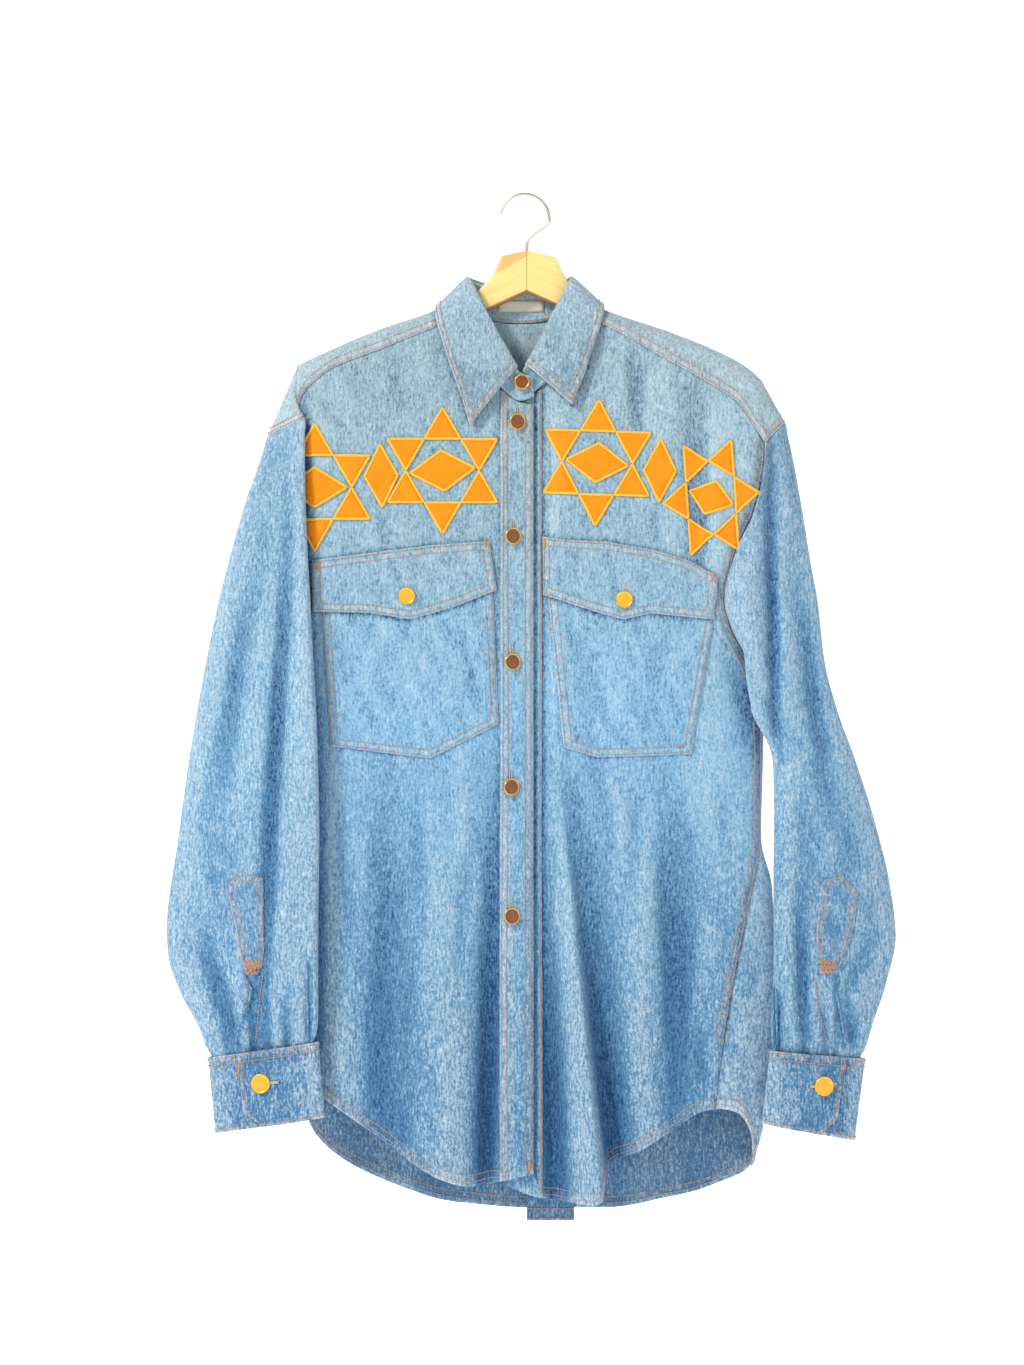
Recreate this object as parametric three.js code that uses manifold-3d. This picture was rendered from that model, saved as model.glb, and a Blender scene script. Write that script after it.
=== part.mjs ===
// A denim western shirt with star patches, buttoned up and hanging from a wooden clothes hanger.
// Millimetres, +Z up. The front faces -Y, and the origin is the point where the hanger's hook rests on its nail.
import * as THREE from 'three';
import { mergeVertices } from 'three/addons/utils/BufferGeometryUtils.js';
import Module from 'manifold-3d';

const wasm = await Module();
wasm.setup();

// Driving dimensions
const cloth = 1.2; // wall of a cloth panel
const patchCloth = 1.0; // wall of a piece that is sewn onto a panel
const seamGap = 0.4; // between two pieces that meet at a seam
const layGap = 0.5; // between a panel and what lies on it
const starsFrom = -211; // where the stars go under the sleeve
const hangerReach = 216; // from the hook to the end of a wooden arm
const hangerForward = 18; // how far the arm ends curve towards the front
const woodThickness = 12; // at its head
const woodEnd = 8.5; // at the end of an arm
const wireRadius = 1.7;
const buttonRadius = 8;
const placketLeft = -26;
const placketRight = 5;
const bandRight = 13; // right edge of the button band that shows beside the placket
const underlap = -20; // where the left front ends, under the placket
const starRadius = 60;
const edgeFlatness = 0.25; // how square the body is at its side folds
const crestShift = 3.3; // moves all the parts so that the hook's crest is on the origin
const dense = 120; // steps along a line before it is divided evenly
const sleeveFlatness = 0.5;

// Outline of the body by height: side folds, and how far the front and back stand from the middle
const bodyRows = [
  { z: -100, left: -236, right: 240, front: 12, back: 11 },
  { z: -180, left: -236, right: 240, front: 14, back: 12 },
  { z: -260, left: -234, right: 238, front: 19, back: 13 },
  { z: -415, left: -222, right: 226, front: 24, back: 14 },
  { z: -530, left: -214, right: 223, front: 27, back: 15 },
  { z: -610, left: -212, right: 221, front: 29, back: 15 },
  { z: -655, left: -212, right: 231, front: 30, back: 15 },
  { z: -760, left: -214, right: 236, front: 32, back: 16 },
  { z: -880, left: -212, right: 223, front: 34, back: 17 },
  { z: -925, left: -207, right: 211, front: 35, back: 17 },
  { z: -980, left: -200, right: 200, front: 35, back: 17 },
];

// Folds: x0 and x1 are where a fold's line starts and ends, from and to the heights between which it grows.
// height is towards the outside, left and right its reach to either side, deepest the share of its length
// where it is highest, and end what is left of it at its lower end.
const frontFolds = [
  { name: 'placket valley', x0: -29, x1: -38, from: -470, to: -960, height: -15, left: 15, right: 8, deepest: 0.85, end: 1 },
  { name: 'flute', x0: 22, x1: 70, from: -500, to: -960, height: 24, left: 22, right: 5, deepest: 0.95, end: 1 },
  { name: 'flute valley', x0: 32, x1: 79, from: -540, to: -960, height: -11, left: 5, right: 24, deepest: 0.9, end: 1 },
  { name: 'inner flute valley', x0: 14, x1: 25, from: -600, to: -960, height: -13, left: 8, right: 12, deepest: 0.9, end: 1 },
  { name: 'left soft valley', x0: -138, x1: -134, from: -430, to: -960, height: -6, left: 22, right: 26, deepest: 0.6, end: 0.8 },
  { name: 'left soft ridge', x0: -88, x1: -78, from: -480, to: -960, height: 8, left: 30, right: 30, deepest: 0.8, end: 0.9 },
  { name: 'right soft ridge', x0: 102, x1: 116, from: -480, to: -930, height: 7, left: 24, right: 16, deepest: 0.6, end: 0.5 },
  { name: 'right soft valley', x0: 132, x1: 142, from: -500, to: -900, height: -6, left: 12, right: 22, deepest: 0.6, end: 0.4 },
  { name: 'pocket valley', x0: 66, x1: 68, from: -400, to: -580, height: -4, left: 14, right: 16, deepest: 0.5, end: 0 },
  { name: 'chest crease', x0: 104, x1: 104, from: -140, to: -250, height: -4, left: 9, right: 7, deepest: 0.4, end: 0 },
  { name: 'armhole fold', x0: 174, x1: 174, from: -176, to: -410, height: 7, left: 6, right: 20, deepest: 0.5, end: 0 },
  { name: 'armhole valley', x0: 163, x1: 163, from: -180, to: -420, height: -4, left: 14, right: 6, deepest: 0.5, end: 0 },
  { name: 'under the right sleeve', x0: 216, x1: 222, from: -300, to: -640, height: -12, left: 26, right: 30, deepest: 0.5, end: 0 },
  { name: 'left armhole valley', x0: -214, x1: -210, from: -150, to: -520, height: -7, left: 14, right: 10, deepest: 0.3, end: 0.4 },
  { name: 'under the left sleeve', x0: -212, x1: -212, from: -400, to: -960, height: -7, left: 20, right: 18, deepest: 0.3, end: 1 },
];
const backFolds = [
  { name: 'left back fold', x0: -118, x1: -132, from: -300, to: -980, height: 9, left: 26, right: 22, deepest: 0.8, end: 1 },
  { name: 'left back valley', x0: -72, x1: -84, from: -330, to: -980, height: -6, left: 18, right: 22, deepest: 0.8, end: 1 },
  { name: 'right back fold', x0: 104, x1: 126, from: -320, to: -980, height: 8, left: 22, right: 28, deepest: 0.8, end: 1 },
  { name: 'right back valley', x0: 66, x1: 80, from: -360, to: -980, height: -5, left: 18, right: 18, deepest: 0.8, end: 1 },
];
const bend = { from: -480, to: -960 }; // above this stretch a body fold runs straight down, along it its line leans

// Sleeves by height: inner and outer fold, where those stand in depth, and the wall's reach to front and back.
// tilt lifts the inner end of a row and lowers the outer one.
const leftSleeveRows = [
  { z: -222, tilt: 7, inner: -210, outer: -246, innerY: -31, outerY: -15, front: 9, back: 9 },
  { z: -250, tilt: 4, inner: -210, outer: -254, innerY: -33, outerY: -15, front: 10, back: 12 },
  { z: -300, tilt: 0, inner: -209, outer: -270, innerY: -35, outerY: -14, front: 12, back: 14 },
  { z: -400, tilt: 0, inner: -204, outer: -296, innerY: -38, outerY: -12, front: 14, back: 15 },
  { z: -517, tilt: 0, inner: -198, outer: -318, innerY: -42, outerY: -10, front: 15, back: 15 },
  { z: -608, tilt: 0, inner: -196, outer: -331, innerY: -43, outerY: -10, front: 16, back: 16 },
  { z: -697, tilt: 0, inner: -197, outer: -342, innerY: -44, outerY: -12, front: 16, back: 16 },
  { z: -721, tilt: 1, inner: -197, outer: -340, innerY: -44, outerY: -14, front: 16, back: 15 },
  { z: -756, tilt: 4, inner: -197, outer: -326, innerY: -43, outerY: -18, front: 14, back: 13 },
  { z: -780, tilt: 7, inner: -197, outer: -311, innerY: -42, outerY: -21, front: 12, back: 11 },
  { z: -799, tilt: 8.3, inner: -198.5, outer: -303, innerY: -41, outerY: -23.5, front: 9.5, back: 9 },
  { z: -811, tilt: 8.5, inner: -203, outer: -295, innerY: -41, outerY: -25, front: 6.5, back: 6.8 },
];
const rightSleeveRows = [
  { z: -226.5, tilt: -9.5, inner: 223, outer: 243, innerY: -22, outerY: -15, front: 8, back: 9 },
  { z: -257, tilt: -4, inner: 222, outer: 251, innerY: -22, outerY: -14, front: 9, back: 12 },
  { z: -303, tilt: 0, inner: 212, outer: 260, innerY: -24, outerY: -13, front: 10, back: 13 },
  { z: -346, tilt: 0, inner: 194, outer: 267, innerY: -28, outerY: -12, front: 11, back: 13 },
  { z: -384, tilt: 0, inner: 184, outer: 274, innerY: -31, outerY: -11, front: 12, back: 13 },
  { z: -443, tilt: 0, inner: 186, outer: 281, innerY: -34, outerY: -10, front: 13, back: 13 },
  { z: -489, tilt: 0, inner: 203, outer: 293, innerY: -33, outerY: -10, front: 14, back: 14 },
  { z: -536, tilt: 0, inner: 231, outer: 310, innerY: -27, outerY: -10, front: 15, back: 14 },
  { z: -593, tilt: 0, inner: 232, outer: 328, innerY: -28, outerY: -10, front: 16, back: 15 },
  { z: -651, tilt: 0, inner: 231, outer: 342, innerY: -32, outerY: -11, front: 16, back: 15 },
  { z: -702, tilt: 0, inner: 231, outer: 348, innerY: -36, outerY: -12, front: 16, back: 14 },
  { z: -747, tilt: 1, inner: 230, outer: 338, innerY: -40, outerY: -16, front: 15, back: 13 },
  { z: -780, tilt: 3, inner: 228, outer: 326, innerY: -42, outerY: -20, front: 12, back: 11 },
  { z: -803, tilt: 4.3, inner: 228.5, outer: 318, innerY: -42, outerY: -23.5, front: 9.5, back: 9 },
  { z: -815, tilt: 4.5, inner: 233, outer: 311, innerY: -42, outerY: -25, front: 5.5, back: 6.8 },
];
const leftSleeveFolds = [
  { name: 'long valley', x0: -219, x1: -254, from: -215, to: -815, height: -9, left: 9, right: 9, deepest: 0.5, end: 0.4 },
  { name: 'outer valley', x0: -258, x1: -300, from: -330, to: -620, height: -4, left: 12, right: 14, deepest: 0.5, end: 0 },
  { name: 'elbow crease', x0: -310, x1: -272, from: -680, to: -810, height: -6, left: 9, right: 9, deepest: 0.6, end: 0.4 },
  { name: 'cuff pleat', x0: -209, x1: -206, from: -690, to: -815, height: -5, left: 5, right: 4, deepest: 0.7, end: 0.5 },
];
const rightSleeveFolds = [
  { name: 'inner valley', x0: 227, x1: 235, from: -200, to: -560, height: -8, left: 8, right: 6, deepest: 0.5, end: 0.5 },
  { name: 'outer valley', x0: 256, x1: 284, from: -330, to: -620, height: -6, left: 10, right: 12, deepest: 0.5, end: 0 },
  { name: 'pleat', x0: 252, x1: 261, from: -600, to: -815, height: -7, left: 8, right: 7, deepest: 0.7, end: 0.4 },
  { name: 'cuff pleat', x0: 233, x1: 236, from: -690, to: -815, height: -5, left: 4, right: 5, deepest: 0.7, end: 0.5 },
  { name: 'gathers', x0: 300, x1: 306, from: -740, to: -815, height: -4, left: 6, right: 6, deepest: 0.7, end: 0.5 },
];

// Seams. The armhole rows run from the yoke's front corner down to the underarm, the side seam rows on to the hem.
const leftArmhole = [
  { z: -214, x: -221 },
  { z: -260, x: -227 },
  { z: -340, x: -226 },
  { z: -390, x: -223 },
  { z: -415, x: -221.5 },
];
const rightArmhole = [
  { z: -236, x: 223 },
  { z: -257, x: 222 },
  { z: -303, x: 211.5 },
  { z: -336, x: 196 },
  { z: -384, x: 184.5 },
  { z: -410, x: 191 },
  { z: -440, x: 207 },
  { z: -475, x: 221.5 },
];
const rightSideSeam = [
  { z: -475, x: 221.5 },
  { z: -540, x: 221.5 },
  { z: -613, x: 220.5 },
  { z: -648, x: 214 },
  { z: -692, x: 204.5 },
  { z: -741, x: 194.5 },
  { z: -803, x: 184 },
  { z: -866, x: 176 },
];
// The back armholes as places round the body loop, where 1 is its right fold, 2 the back's middle and 3 its left fold
const rightBackArmhole = [
  { z: -220, s: 1.17 },
  { z: -300, s: 1.15 },
  { z: -400, s: 1.08 },
  { z: -475, s: 0.96 },
];
const leftBackArmhole = [
  { z: -220, s: 2.83 },
  { z: -300, s: 2.86 },
  { z: -370, s: 2.93 },
  { z: -415, s: 3 },
];

// Upper edges of the fronts, from the middle out: the neckline, then the yoke seam
const rightFrontTop = [
  { x: -221, z: -214 },
  { x: -213.6, z: -192 },
  { x: -197.6, z: -175 },
  { x: -182.6, z: -164.5 },
  { x: -138.6, z: -147 },
  { x: -102.6, z: -132 },
  { x: -72, z: -122 },
  { x: -62, z: -134 },
  { x: -46, z: -158 },
  { x: -28, z: -182 },
  { x: -8, z: -197 },
  { x: 6, z: -200 },
];
const leftFrontTop = [
  { x: -22, z: -200 },
  { x: -8, z: -197 },
  { x: 14, z: -182 },
  { x: 33, z: -158 },
  { x: 50, z: -134 },
  { x: 60, z: -119 },
  { x: 68.4, z: -122 },
  { x: 124, z: -152.6 },
  { x: 183, z: -187.4 },
  { x: 198.4, z: -198.4 },
  { x: 211.5, z: -219 },
  { x: 223, z: -236 },
];
const rightFrontHem = [
  { x: -214, z: -848 },
  { x: -191, z: -856 },
  { x: -178.6, z: -864.5 },
  { x: -138, z: -893 },
  { x: -83, z: -929 },
  { x: -54, z: -936.5 },
  { x: -34, z: -933.5 },
  { x: 7, z: -923.5 },
];
const leftFrontHem = [
  { x: -22, z: -935 },
  { x: 2, z: -945 },
  { x: 24, z: -950 },
  { x: 60, z: -952 },
  { x: 69, z: -948 },
  { x: 76, z: -917 },
  { x: 103, z: -904 },
  { x: 134, z: -885 },
  { x: 165.7, z: -866 },
  { x: 177, z: -864 },
];
const backHem = [
  { s: 0.6, z: -864 },
  { s: 0.68, z: -868 },
  { s: 0.78, z: -884 },
  { s: 0.95, z: -916 },
  { s: 1.1, z: -926 },
  { s: 1.3, z: -937 },
  { s: 1.5, z: -951 },
  { s: 1.75, z: -962 },
  { s: 2, z: -963 },
  { s: 2.2, z: -958 },
  { s: 2.4, z: -944 },
  { s: 2.6, z: -922 },
  { s: 2.78, z: -898 },
  { s: 2.92, z: -875 },
  { s: 3, z: -850 },
];
const backYokeSeam = -220;

// The shoulders' crest above the yoke's front seam
const crestRows = [
  { start: -213.6, x: -217.5, z: -162.5, backX: -224 },
  { start: -184, x: -188, z: -148, backX: -196 },
  { start: -139, x: -140.6, z: -127.3, backX: -146 },
  { start: -100, x: -100, z: -113.5, backX: -104 },
  { start: -88, x: -88, z: -108.5, backX: -90 },
  { start: -72, x: -72, z: -101.3, backX: -72 },
  { start: 62, x: 60, z: -98.2, backX: 61 },
  { start: 72, x: 72, z: -107.8, backX: 73 },
  { start: 84, x: 84, z: -112.5, backX: 86 },
  { start: 131, x: 135, z: -130, backX: 142 },
  { start: 183, x: 192, z: -155, backX: 200 },
  { start: 205, x: 213, z: -169, backX: 217 },
  { start: 220, x: 231, z: -189, backX: 226 },
];
const neckMiddle = { x: -7, z: -121, halfWidth: 59 }; // of the back neckline
const yokeRound = 26; // how far down behind the crest the yoke curves over

const colours = {
  denim: 0x8ab4d2,
  inside: 0x7e9fb4,
  orange: 0xf7a32b,
  amber: 0xf2a21c,
  wood: 0xf2d79a,
  steel: 0xcfd2d4,
  label: 0xece4d2,
};

// Small helpers
const clamp = (v, low, high) => Math.min(high, Math.max(low, v));
const mix = (a, b, t) => a + (b - a) * t;
const smooth = (from, to, v) => {
  const t = clamp((v - from) / (to - from), 0, 1);
  return t * t * (3 - 2 * t);
};
const mixPoints = (a, b, t) => a.clone().lerp(b, t);

// The value of a table's column at a place along another, on a smooth curve through its rows that never overshoots
function follow(rows, by, column, at) {
  const ordered = rows[0][by] <= rows[rows.length - 1][by] ? rows : [...rows].reverse();
  const last = ordered.length - 1;
  if (at <= ordered[0][by]) return ordered[0][column];
  if (at >= ordered[last][by]) return ordered[last][column];
  let i = 0;
  while (at > ordered[i + 1][by]) i++;
  const span = (k) => ordered[k + 1][by] - ordered[k][by];
  const slope = (k) => (ordered[k + 1][column] - ordered[k][column]) / span(k);
  const tangent = (k) => {
    if (k === 0) return slope(0);
    if (k === last) return slope(last - 1);
    const before = slope(k - 1);
    const after = slope(k);
    return before * after <= 0 ? 0 : (2 * before * after) / (before + after);
  };
  const h = span(i);
  const t = (at - ordered[i][by]) / h;
  const a = ordered[i][column];
  const b = ordered[i + 1][column];
  return (
    (1 + 2 * t) * (1 - t) ** 2 * a + t * (1 - t) ** 2 * h * tangent(i) +
    t * t * (3 - 2 * t) * b + t * t * (t - 1) * h * tangent(i + 1)
  );
}

// Sum of the folds at a place on a panel, positive towards the outside
function foldHeight(folds, x, z, lean) {
  let sum = 0;
  for (const fold of folds) {
    const t = (fold.from - z) / (fold.from - fold.to);
    if (t <= 0) continue;
    const along = t < fold.deepest
      ? smooth(0, fold.deepest, t)
      : mix(1, fold.end, smooth(fold.deepest, 1, t));
    const down = lean ? (lean.from - z) / (lean.from - lean.to) : t;
    const aside = x - mix(fold.x0, fold.x1, clamp(down, 0, 1));
    const reach = aside < 0 ? fold.left : fold.right;
    sum += fold.height * along * Math.exp(-((aside / reach) ** 2));
  }
  return sum;
}

// The body is a flat loop round the middle. s is -1 at its left fold, 0 in front, 1 at its right fold,
// 2 behind and 3 at its left fold again.
const shoulderForward = (x, z) =>
  -hangerForward * clamp(Math.abs(x) / hangerReach, 0, 1.05) ** 2 * (1 - smooth(-200, -520, z));

function bodyPoint(s, z, inward = 0) {
  const left = follow(bodyRows, 'z', 'left', z);
  const right = follow(bodyRows, 'z', 'right', z);
  const angle = (Math.PI / 2) * s;
  const x = (left + right) / 2 + ((right - left) / 2) * Math.sin(angle);
  const c = Math.cos(angle);
  const rounding = Math.abs(c) ** edgeFlatness;
  const front = follow(bodyRows, 'z', 'front', z) + foldHeight(frontFolds, x, z, bend) - inward;
  const back = follow(bodyRows, 'z', 'back', z) + foldHeight(backFolds, x, z, bend) - inward;
  const y = shoulderForward(x, z) + (c >= 0 ? -front : back) * rounding;
  return new THREE.Vector3(x, y, z);
}

// The place round the body loop of a point on the front
function placeOf(x, z) {
  const left = follow(bodyRows, 'z', 'left', z);
  const right = follow(bodyRows, 'z', 'right', z);
  const t = clamp((2 * x - left - right) / (right - left), -1, 1);
  return Math.asin(t) / (Math.PI / 2);
}

// Where the left front lies under the right one it keeps clear of it
const underPlacket = (x) => 4.2 * (1 - smooth(12, 28, x));
const rightFrontSurface = (s, z) => bodyPoint(s, z);
const leftFrontSurface = (s, z) => bodyPoint(s, z, underPlacket(bodyPoint(s, z).x));

// A point of a surface together with the surface's own normal there
function onSurface(surface, s, z) {
  const point = surface(s, z);
  const along = surface(s + 0.004, z).sub(surface(s - 0.004, z));
  const down = surface(s, z - 1.5).sub(surface(s, z + 1.5));
  point.normal = down.cross(along).normalize();
  return point;
}

// n + 1 points along a dense line of points, at equal distances along the cloth
function evenly(line, n) {
  const lengths = [0];
  for (let i = 1; i < line.length; i++) lengths.push(lengths[i - 1] + line[i].distanceTo(line[i - 1]));
  const total = lengths[lengths.length - 1];
  const points = [];
  let k = 0;
  for (let i = 0; i <= n; i++) {
    const wanted = (total * i) / n;
    while (k < line.length - 2 && lengths[k + 1] < wanted) k++;
    const step = lengths[k + 1] - lengths[k] || 1;
    points.push(mixPoints(line[k], line[k + 1], clamp((wanted - lengths[k]) / step, 0, 1)));
  }
  return points;
}

// A front panel. Each column is a line down the cloth, so that folds run along columns:
// top and low are its x above and below the leaning stretch, and side says how far it keeps to the side edge.
function frontPanel({ surface, columns, side, top, hem, rows }) {
  const xAt = ({ top: high, low, side: share = 0 }, z) => {
    const own = mix(high, low, clamp((bend.from - z) / (bend.from - bend.to), 0, 1));
    return mix(own, side(z), share);
  };
  const settle = (column, edge, guess) => {
    let z = guess;
    for (let k = 0; k < 16; k++) z = mix(z, edge(xAt(column, z)), 0.6);
    return z;
  };
  const ends = columns.map((column) => [settle(column, top, -200), settle(column, hem, -900)]);
  const grid = [];
  for (let j = 0; j <= rows; j++) {
    grid.push(columns.map((column, i) => {
      const z = mix(ends[i][0], ends[i][1], j / rows);
      return onSurface(surface, placeOf(xAt(column, z), z), z);
    }));
  }
  return grid;
}

// Normals of a grid of points, pointing out of the cloth's right side
function gridNormals(grid) {
  const rows = grid.length - 1;
  const columns = grid[0].length - 1;
  return grid.map((row, j) => row.map((point, i) => {
    if (point.normal) return point.normal;
    const across = row[Math.min(i + 1, columns)].clone().sub(row[Math.max(i - 1, 0)]);
    const down = grid[Math.min(j + 1, rows)][i].clone().sub(grid[Math.max(j - 1, 0)][i]);
    return down.cross(across).normalize();
  }));
}

// A closed wall on a grid: its outer side stands lift mm outside the grid, and it is thick mm thick.
// Rows run down and columns to the right, as seen from outside.
function wall(grid, lift = 0, thick = cloth) {
  const normals = gridNormals(grid);
  const rows = grid.length;
  const columns = grid[0].length;
  const positions = [];
  for (const inner of [0, thick]) {
    grid.forEach((row, j) => row.forEach((point, i) => {
      const p = point.clone().addScaledVector(normals[j][i], lift - inner);
      positions.push(p.x, p.y, p.z);
    }));
  }
  const at = (side, j, i) => side * rows * columns + j * columns + i;
  const index = [];
  const quad = (a, b, c, d) => index.push(a, b, c, a, c, d);
  for (let j = 0; j < rows - 1; j++) {
    for (let i = 0; i < columns - 1; i++) {
      quad(at(0, j, i), at(0, j + 1, i), at(0, j + 1, i + 1), at(0, j, i + 1));
      quad(at(1, j, i), at(1, j, i + 1), at(1, j + 1, i + 1), at(1, j + 1, i));
    }
  }
  for (let i = 0; i < columns - 1; i++) {
    quad(at(0, 0, i), at(0, 0, i + 1), at(1, 0, i + 1), at(1, 0, i));
    quad(at(0, rows - 1, i + 1), at(0, rows - 1, i), at(1, rows - 1, i), at(1, rows - 1, i + 1));
  }
  for (let j = 0; j < rows - 1; j++) {
    quad(at(0, j + 1, 0), at(0, j, 0), at(1, j, 0), at(1, j + 1, 0));
    quad(at(0, j, columns - 1), at(0, j + 1, columns - 1), at(1, j + 1, columns - 1), at(1, j, columns - 1));
  }
  const geometry = new THREE.BufferGeometry();
  geometry.setAttribute('position', new THREE.Float32BufferAttribute(positions, 3));
  geometry.setIndex(index);
  return geometry;
}

// Between three.js and manifold-3d
function solidOf(geometry) {
  const bare = geometry.index ? geometry.toNonIndexed() : geometry.clone();
  for (const name of Object.keys(bare.attributes)) if (name !== 'position') bare.deleteAttribute(name);
  const merged = mergeVertices(bare, 1e-4);
  return new wasm.Manifold(new wasm.Mesh({
    numProp: 3,
    vertProperties: merged.attributes.position.array,
    triVerts: new Uint32Array(merged.index.array),
  }));
}

function geometryOf(solid) {
  const mesh = solid.getMesh();
  const positions = new Float32Array(mesh.numVert * 3);
  for (let i = 0; i < mesh.numVert; i++) {
    positions.set(mesh.vertProperties.subarray(i * mesh.numProp, i * mesh.numProp + 3), i * 3);
  }
  const geometry = new THREE.BufferGeometry();
  geometry.setAttribute('position', new THREE.BufferAttribute(positions, 3));
  geometry.setIndex(new THREE.BufferAttribute(new Uint32Array(mesh.triVerts), 1));
  return geometry;
}

// The largest single body of a solid
function mainBody(solid) {
  return solid.decompose().reduce((best, body) => (body.volume() > best.volume() ? body : best));
}

// A straight prism along Y through an outline of [x, z] points, from yNear to yFar
function prism(outline, yNear, yFar, hole) {
  const shape = new THREE.Shape(outline.map(([x, z]) => new THREE.Vector2(x, z)));
  if (hole) shape.holes.push(new THREE.Path(hole.map(([x, z]) => new THREE.Vector2(x, z))));
  const geometry = new THREE.ExtrudeGeometry(shape, { depth: yFar - yNear, bevelEnabled: false });
  geometry.rotateX(Math.PI / 2);
  geometry.translate(0, yFar, 0);
  return solidOf(geometry);
}

// A piece that lies on a panel: the panel's own points moved out, kept inside an outline seen from the front
const frontMost = -95;
function layOn(grid, outline, lift, { hole, from, behind = 0, thick = patchCloth } = {}) {
  const sheet = solidOf(wall(grid, lift + thick, thick));
  const cut = sheet.intersect(prism(outline, frontMost, behind, hole));
  return geometryOf(mainBody(from === undefined ? cut : cut.trimByPlane([1, 0, 0], from)));
}

const shirt = new THREE.Group();
function add(name, geometry, colour, roughness = 0.9, metalness = 0) {
  const material = new THREE.MeshStandardMaterial({ color: colour, roughness, metalness });
  geometry.translate(crestShift, 0, 0);
  const mesh = new THREE.Mesh(geometry, material);
  mesh.name = name;
  shirt.add(mesh);
}

// Fronts and back
const leftSideAt = (z) => (z > -415 ? follow(leftArmhole, 'z', 'x', z) : follow(bodyRows, 'z', 'left', z));
const rightSideAt = (z) => follow(z > -475 ? rightArmhole : rightSideSeam, 'z', 'x', z);
const rightFrontGrid = frontPanel({
  surface: rightFrontSurface,
  side: leftSideAt,
  top: (x) => follow(rightFrontTop, 'x', 'z', x) - seamGap,
  hem: (x) => follow(rightFrontHem, 'x', 'z', x),
  columns: [
    { top: -216, low: -216, side: 1 },
    { top: -180, low: -180, side: 0.93 },
    { top: -180, low: -180, side: 0.72 },
    { top: -180, low: -176, side: 0.3 },
    { top: -162, low: -156 },
    { top: -138, low: -134 },
    { top: -112, low: -106 },
    { top: -88, low: -78 },
    { top: -72, low: -62 },
    { top: -50, low: -50 },
    { top: -36, low: -43 },
    { top: -29.5, low: -36 },
    { top: placketLeft, low: placketLeft },
    { top: -16, low: -16 },
    { top: -5, low: -5 },
    { top: placketRight - 1.5, low: placketRight - 1.5 },
  ],
  rows: 20,
});
const leftFrontGrid = frontPanel({
  surface: leftFrontSurface,
  side: rightSideAt,
  top: (x) => follow(leftFrontTop, 'x', 'z', x) - seamGap,
  hem: (x) => follow(leftFrontHem, 'x', 'z', x),
  columns: [
    { top: underlap, low: underlap },
    { top: -6, low: -6 },
    { top: 5, low: 5 },
    { top: bandRight - 0.5, low: bandRight - 0.5 },
    { top: 15.5, low: 25 },
    { top: 18, low: 38 },
    { top: 20, low: 52 },
    { top: 22, low: 63 },
    { top: 24, low: 70 },
    { top: 28, low: 74 },
    { top: 33, low: 79 },
    { top: 45, low: 90 },
    { top: 62, low: 102 },
    { top: 84, low: 117 },
    { top: 104, low: 130 },
    { top: 122, low: 142 },
    { top: 130, low: 146, side: 0.35 },
    { top: 130, low: 150, side: 0.65 },
    { top: 130, low: 150, side: 0.88 },
    { top: 130, low: 150, side: 1 },
  ],
  rows: 21,
});

const sideGap = 0.013; // a seam's gap as a share of the body loop
const backPlaceOf = (p) => {
  const s = placeOf(p.x, p.z);
  return p.y < shoulderForward(p.x, p.z) ? s : 2 - s;
};
const backColumns = 22;
const backRows = 18;
const backSides = (z) => [
  (z > -475 ? follow(rightBackArmhole, 'z', 's', z) : placeOf(rightSideAt(z), z)) + sideGap,
  (z > -415 ? follow(leftBackArmhole, 'z', 's', z) : 3) - sideGap,
];
function backGrid() {
  const places = (z) => {
    const [from, to] = backSides(z);
    const line = [];
    for (let i = 0; i <= dense; i++) {
      const s = mix(from, to, i / dense);
      line.push(new THREE.Vector3(...bodyPoint(s, z).toArray()));
      line[i].s = s;
    }
    const lengths = [0];
    for (let i = 1; i < line.length; i++) lengths.push(lengths[i - 1] + line[i].distanceTo(line[i - 1]));
    const result = [];
    let k = 0;
    for (let i = 0; i <= backColumns; i++) {
      const wanted = (lengths[dense] * i) / backColumns;
      while (k < dense - 1 && lengths[k + 1] < wanted) k++;
      const t = (wanted - lengths[k]) / (lengths[k + 1] - lengths[k]);
      result.push(mix(line[k].s, line[k + 1].s, clamp(t, 0, 1)));
    }
    return result;
  };
  const low = [];
  for (let i = 0; i <= backColumns; i++) {
    let z = -930;
    for (let k = 0; k < 12; k++) z = mix(z, follow(backHem, 's', 'z', places(z)[i]), 0.6);
    low.push(z);
  }
  const grid = [];
  for (let j = 0; j <= backRows; j++) {
    const row = [];
    for (let i = 0; i <= backColumns; i++) {
      const z = mix(backYokeSeam - seamGap, low[i], j / backRows);
      row.push(onSurface(rightFrontSurface, places(z)[i], z));
    }
    grid.push(row);
  }
  return grid;
}

// The back has a pressed pleat down its middle, whose inner strip hangs a little below the hem
const pleatMiddle = 21.5;
const pleatHalf = 22.5;
const pleatHem = -975;
function pleatGrid() {
  const strip = [];
  const rows = 10;
  for (let j = 0; j <= rows; j++) {
    const z = mix(backYokeSeam - 4, pleatHem, j / rows);
    const row = [];
    for (const share of [-1, -0.33, 0.33, 1]) {
      const x = pleatMiddle - share * pleatHalf;
      row.push(new THREE.Vector3(x, bodyPoint(2 - placeOf(x, z), z).y - cloth - 1.6, z));
    }
    strip.push(row);
  }
  return strip;
}

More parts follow.
